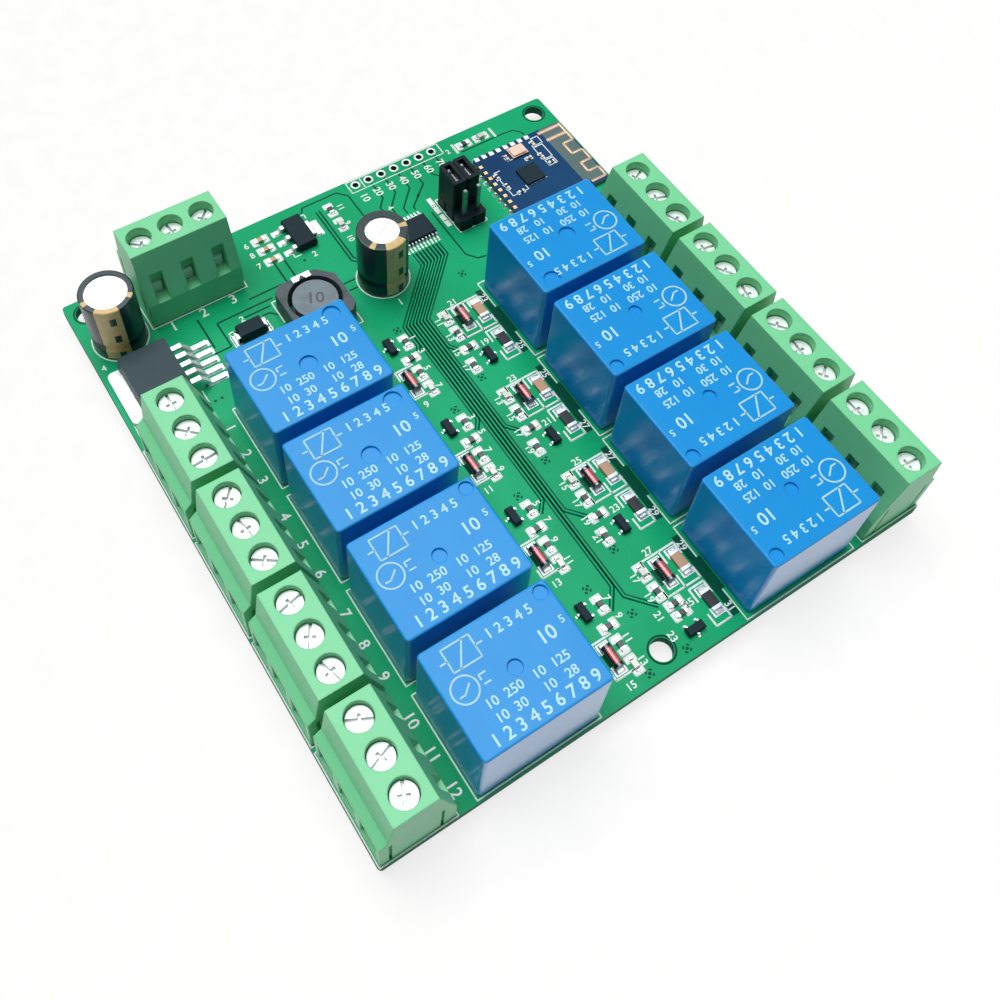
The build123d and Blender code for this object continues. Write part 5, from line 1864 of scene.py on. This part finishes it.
@dataclass
class SmallParts:
    """Chips, glass diodes, lamps and transistors of the driver channels."""

    metal_share: float = 0.2
    pad_reach: float = 0.4
    large_pad_reach: float = 0.75
    large_length: float = 2.0
    pad_margin: float = 0.3
    pad_overlap: float = 0.1
    solder_share: float = 0.5
    solder_limit: float = 0.3
    solder_top: float = 0.62
    ground_level: float = 0.1
    radio_level: float = 0.5
    diode_half_glass: float = 1.19
    lens_foot: float = -0.02
    transistor_half_body: float = 0.66
    transistor_lead_limit: float = 1.5
    bracket_line: float = 0.24
    bracket_gap: float = 0.45
    bracket_reach: float = 0.62
    bracket_margin: float = 0.32
    bracket_bend: float = 0.05

    def build(self) -> None:
        """Dress the small parts and solder them down."""
        metals = (Finish.CHIP_BLACK, Finish.TINNED)
        recast("chip_resistors", "chip_resistors_dressed", metals, self.chip_face)
        metals = (Finish.CHIP_TAN, Finish.TINNED)
        recast("chip_capacitors", "chip_capacitors_dressed", metals, self.chip_face)
        recast(
            "glass_diodes", "glass_diodes_dressed",
            (Finish.GLASS_RED, Finish.DARK_CAP), self.diode_face,
        )
        lamp = (Finish.LAMP_BASE, Finish.LAMP_LENS)
        recast("indicator_leds", "indicator_leds_dressed", lamp, self.lamp_face)
        recast(
            "transistors", "transistors_dressed", (Finish.SMALL_PACKAGE, Finish.TINNED),
            self.transistor_face,
        )
        self.joints()
        self.brackets()

    def chip_face(self, offset: Vector, island: Island) -> int:
        """Metal on the two ends of a chip."""
        long, _ = along(offset, island)
        half = max(island.size.x, island.size.y) / 2
        return 1 if long > half * (1 - 2 * self.metal_share) else 0

    def diode_face(self, offset: Vector, island: Island) -> int:
        """Metal on the two caps of a glass diode."""
        long, _ = along(offset, island)
        return 1 if long > self.diode_half_glass else 0

    def lamp_face(self, offset: Vector, island: Island) -> int:
        """Clear block above a lamp's base."""
        return 1 if offset.z > self.lens_foot else 0

    def transistor_face(self, offset: Vector, island: Island) -> int:
        """Metal on a transistor's leads, wherever they stand out of its body."""
        if max(island.size.x, island.size.y) < self.transistor_lead_limit:
            return 1
        _, across = along(offset, island)
        return 1 if across > self.transistor_half_body else 0

    def joints(self) -> None:
        """Pads and solder at both ends of every chip, lamp and diode."""
        pads, solder = [], []
        for node in ("chip_resistors", "chip_capacitors", "indicator_leds", "glass_diodes"):
            for part in islands(node):
                length, width = sorted((part.size.x, part.size.y), reverse=True)
                lies_east = part.size.x >= part.size.y
                level = part.low.z
                on_radio = level > self.radio_level
                reach = self.large_pad_reach if length > self.large_length else self.pad_reach
                reach = reach / 2 if on_radio else reach
                end = length * self.metal_share + reach
                for side in (-1, 1):
                    away = side * (length / 2 + reach / 2 - length * self.metal_share / 2)
                    x = part.middle.x + (away if lies_east else 0)
                    y = part.middle.y + (0 if lies_east else away)
                    turn = 0 if lies_east else 90
                    longer, wider = end + self.pad_overlap, width + self.pad_margin
                    pads.append(Stamp(x, y, level, longer, wider, Rise.INK.value, turn))
                    height = min(part.size.z * self.solder_share, self.solder_limit)
                    solder.append(Stamp(x, y, level, end - self.pad_overlap, width, height, turn))
        meshes = [
            stamp_mesh(Shape.BLOCK, pads, Finish.TINNED),
            stamp_mesh(Shape.SKIRT, solder, Finish.SOLDER, self.solder_top),
        ]
        deliver(joined(meshes), "small_joints")

    def brackets(self) -> None:
        """White brackets round the ends of each chip and lamp on the main board."""
        routes: list[Route] = []
        for node in ("chip_resistors", "chip_capacitors", "indicator_leds"):
            for part in islands(node):
                length, width = sorted((part.size.x, part.size.y), reverse=True)
                if part.low.z > self.ground_level or length > self.large_length:
                    continue
                turn = 0 if part.size.x >= part.size.y else 90
                half = width / 2 + self.bracket_margin
                for side in (-1, 1):
                    near, far = side * self.bracket_gap, side * (length / 2 + self.bracket_reach)
                    bracket = ((near, half), (far, half), (far, -half), (near, -half))
                    routes.append(turned(bracket, part.middle.x, part.middle.y, turn))
        line, rise = self.bracket_line, Rise.INK.value
        brackets = strip_mesh(routes, line, rise, Finish.LEGEND, bend=self.bracket_bend)
        deliver(brackets, "legend_brackets")


@dataclass
class Studio:
    """White floor, one soft lamp, white surroundings and the camera."""

    eye: tuple[float, float, float] = (-58.5117, -75.1130, 159.2157)
    right: tuple[float, float, float] = (0.835446, -0.547559, 0.047000)
    down: tuple[float, float, float] = (-0.428081, -0.702005, -0.569153)
    lens: float = 43.3445
    shift: tuple[float, float] = (0.02795, -0.16794)
    sensor: float = 36.0
    clip_start: float = 0.01
    floor_half: float = 4.0
    floor_gap: float = 0.02
    floor_grey: Colour = paint(208, 212, 216)
    floor_seen: Colour = (0.26, 0.255, 0.25, 1.0)
    floor_glow: float = 0.77
    lamp_heading: float = 98.0
    lamp_height: float = 74.0
    lamp_spread: float = 46.0
    lamp_power: float = 2.95
    sky_power: float = 0.14

    def build(self) -> None:
        """Set the floor, the lamp, the sky and the camera."""
        self.floor()
        self.lamp()
        self.sky()
        self.camera()

    def seen_directly(self, sheet: NodeSheet) -> Signal:
        """1 for what the camera sees itself, in a mirror or through glass.

        Args:
            sheet: The material that asks.

        Returns:
            The number.
        """
        rays = sheet.add("ShaderNodeLightPath").outputs
        seen = Signal(sheet, rays["Is Camera Ray"])
        for kind in ("Is Glossy Ray", "Is Transmission Ray"):
            seen = seen.most(Signal(sheet, rays[kind]))
        return seen

    def floor(self) -> None:
        """White floor that keeps the object's shadow."""
        sheet = Sheet("studio_floor")
        fine = sheet.noise(4.0, 2.0)
        plain = sheet.add("ShaderNodeBsdfDiffuse", {}, {"Color": self.floor_grey})
        pale = sheet.add("ShaderNodeBsdfDiffuse", {}, {"Color": self.floor_seen, "Roughness": fine})
        glow = sheet.add("ShaderNodeEmission", {}, {"Color": (1, 1, 1, 1), "Strength": self.floor_glow})
        both = sheet.add("ShaderNodeAddShader", {}, {0: pale.outputs[0], 1: glow.outputs[0]})
        sockets = {0: self.seen_directly(sheet), 1: plain.outputs[0], 2: both.outputs[0]}
        mixed = sheet.add("ShaderNodeMixShader", {}, sockets)
        sheet.add("ShaderNodeOutputMaterial", {}, {"Surface": mixed.outputs[0]})
        half = self.floor_half
        level = cad_box[0].z - self.floor_gap * MM
        mesh = bpy.data.meshes.new("studio_floor")
        corners = [(-half, -half, level), (half, -half, level), (half, half, level), (-half, half, level)]
        mesh.from_pydata(corners, [], [(0, 1, 2, 3)])
        mesh.materials.append(sheet.material)
        floor = bpy.data.objects.new("studio_floor", mesh)
        bpy.context.scene.collection.objects.link(floor)

    def lamp(self) -> None:
        """One broad soft lamp high above, a little to the north."""
        lamp = bpy.data.lights.new("soft_lamp", "SUN")
        lamp.energy = self.lamp_power
        lamp.angle = math.radians(self.lamp_spread)
        heading, height = math.radians(self.lamp_heading), math.radians(self.lamp_height)
        outward = math.cos(height)
        toward = Vector((math.cos(heading) * outward, math.sin(heading) * outward, math.sin(height)))
        holder = bpy.data.objects.new("soft_lamp", lamp)
        holder.rotation_mode = "QUATERNION"
        holder.rotation_quaternion = toward.to_track_quat("Z", "Y")
        bpy.context.scene.collection.objects.link(holder)

    def sky(self) -> None:
        """White surroundings, dimmer as a source of light than as a background."""
        world = bpy.data.worlds.new("studio_sky")
        bpy.context.scene.world = world
        world.use_nodes = True
        sheet = NodeSheet(world.node_tree)
        sheet.tree.nodes.clear()
        strength = self.seen_directly(sheet) * (1 - self.sky_power) + self.sky_power
        back = sheet.add("ShaderNodeBackground", {}, {"Color": (1, 1, 1, 1), "Strength": strength})
        sheet.add("ShaderNodeOutputWorld", {}, {"Surface": back.outputs[0]})

    def camera(self) -> None:
        """Camera at the photograph's place, with its framing kept by a small shift."""
        data = bpy.data.cameras.new("camera")
        data.sensor_width = self.sensor
        data.lens = self.lens
        data.shift_x, data.shift_y = self.shift
        data.clip_start = self.clip_start
        holder = bpy.data.objects.new("camera", data)
        bpy.context.scene.collection.objects.link(holder)
        right = Vector(self.right).normalized()
        up = -Vector(self.down).normalized()
        back = right.cross(up).normalized()
        up = back.cross(right)
        turn = Matrix((right, up, back)).transposed().to_4x4()
        holder.matrix_world = Matrix.Translation(Vector(self.eye) * MM) @ turn
        bpy.context.scene.camera = holder


def main() -> None:
    """Build the looks in order, and the studio round them."""
    logging.basicConfig(level=logging.INFO, format="%(message)s")
    bpy.context.scene.view_settings.view_transform = "Standard"
    for part in (
        Board(), Legend(), Relays(), Terminals(), Capacitors(), Inductor(), PowerParts(), Controller(),
        JumperHeader(), Radio(), SmallParts(), Studio(),
    ):
        part.build()
        log.info("%s finished", type(part).__name__)


if __name__ == "__main__":
    main()
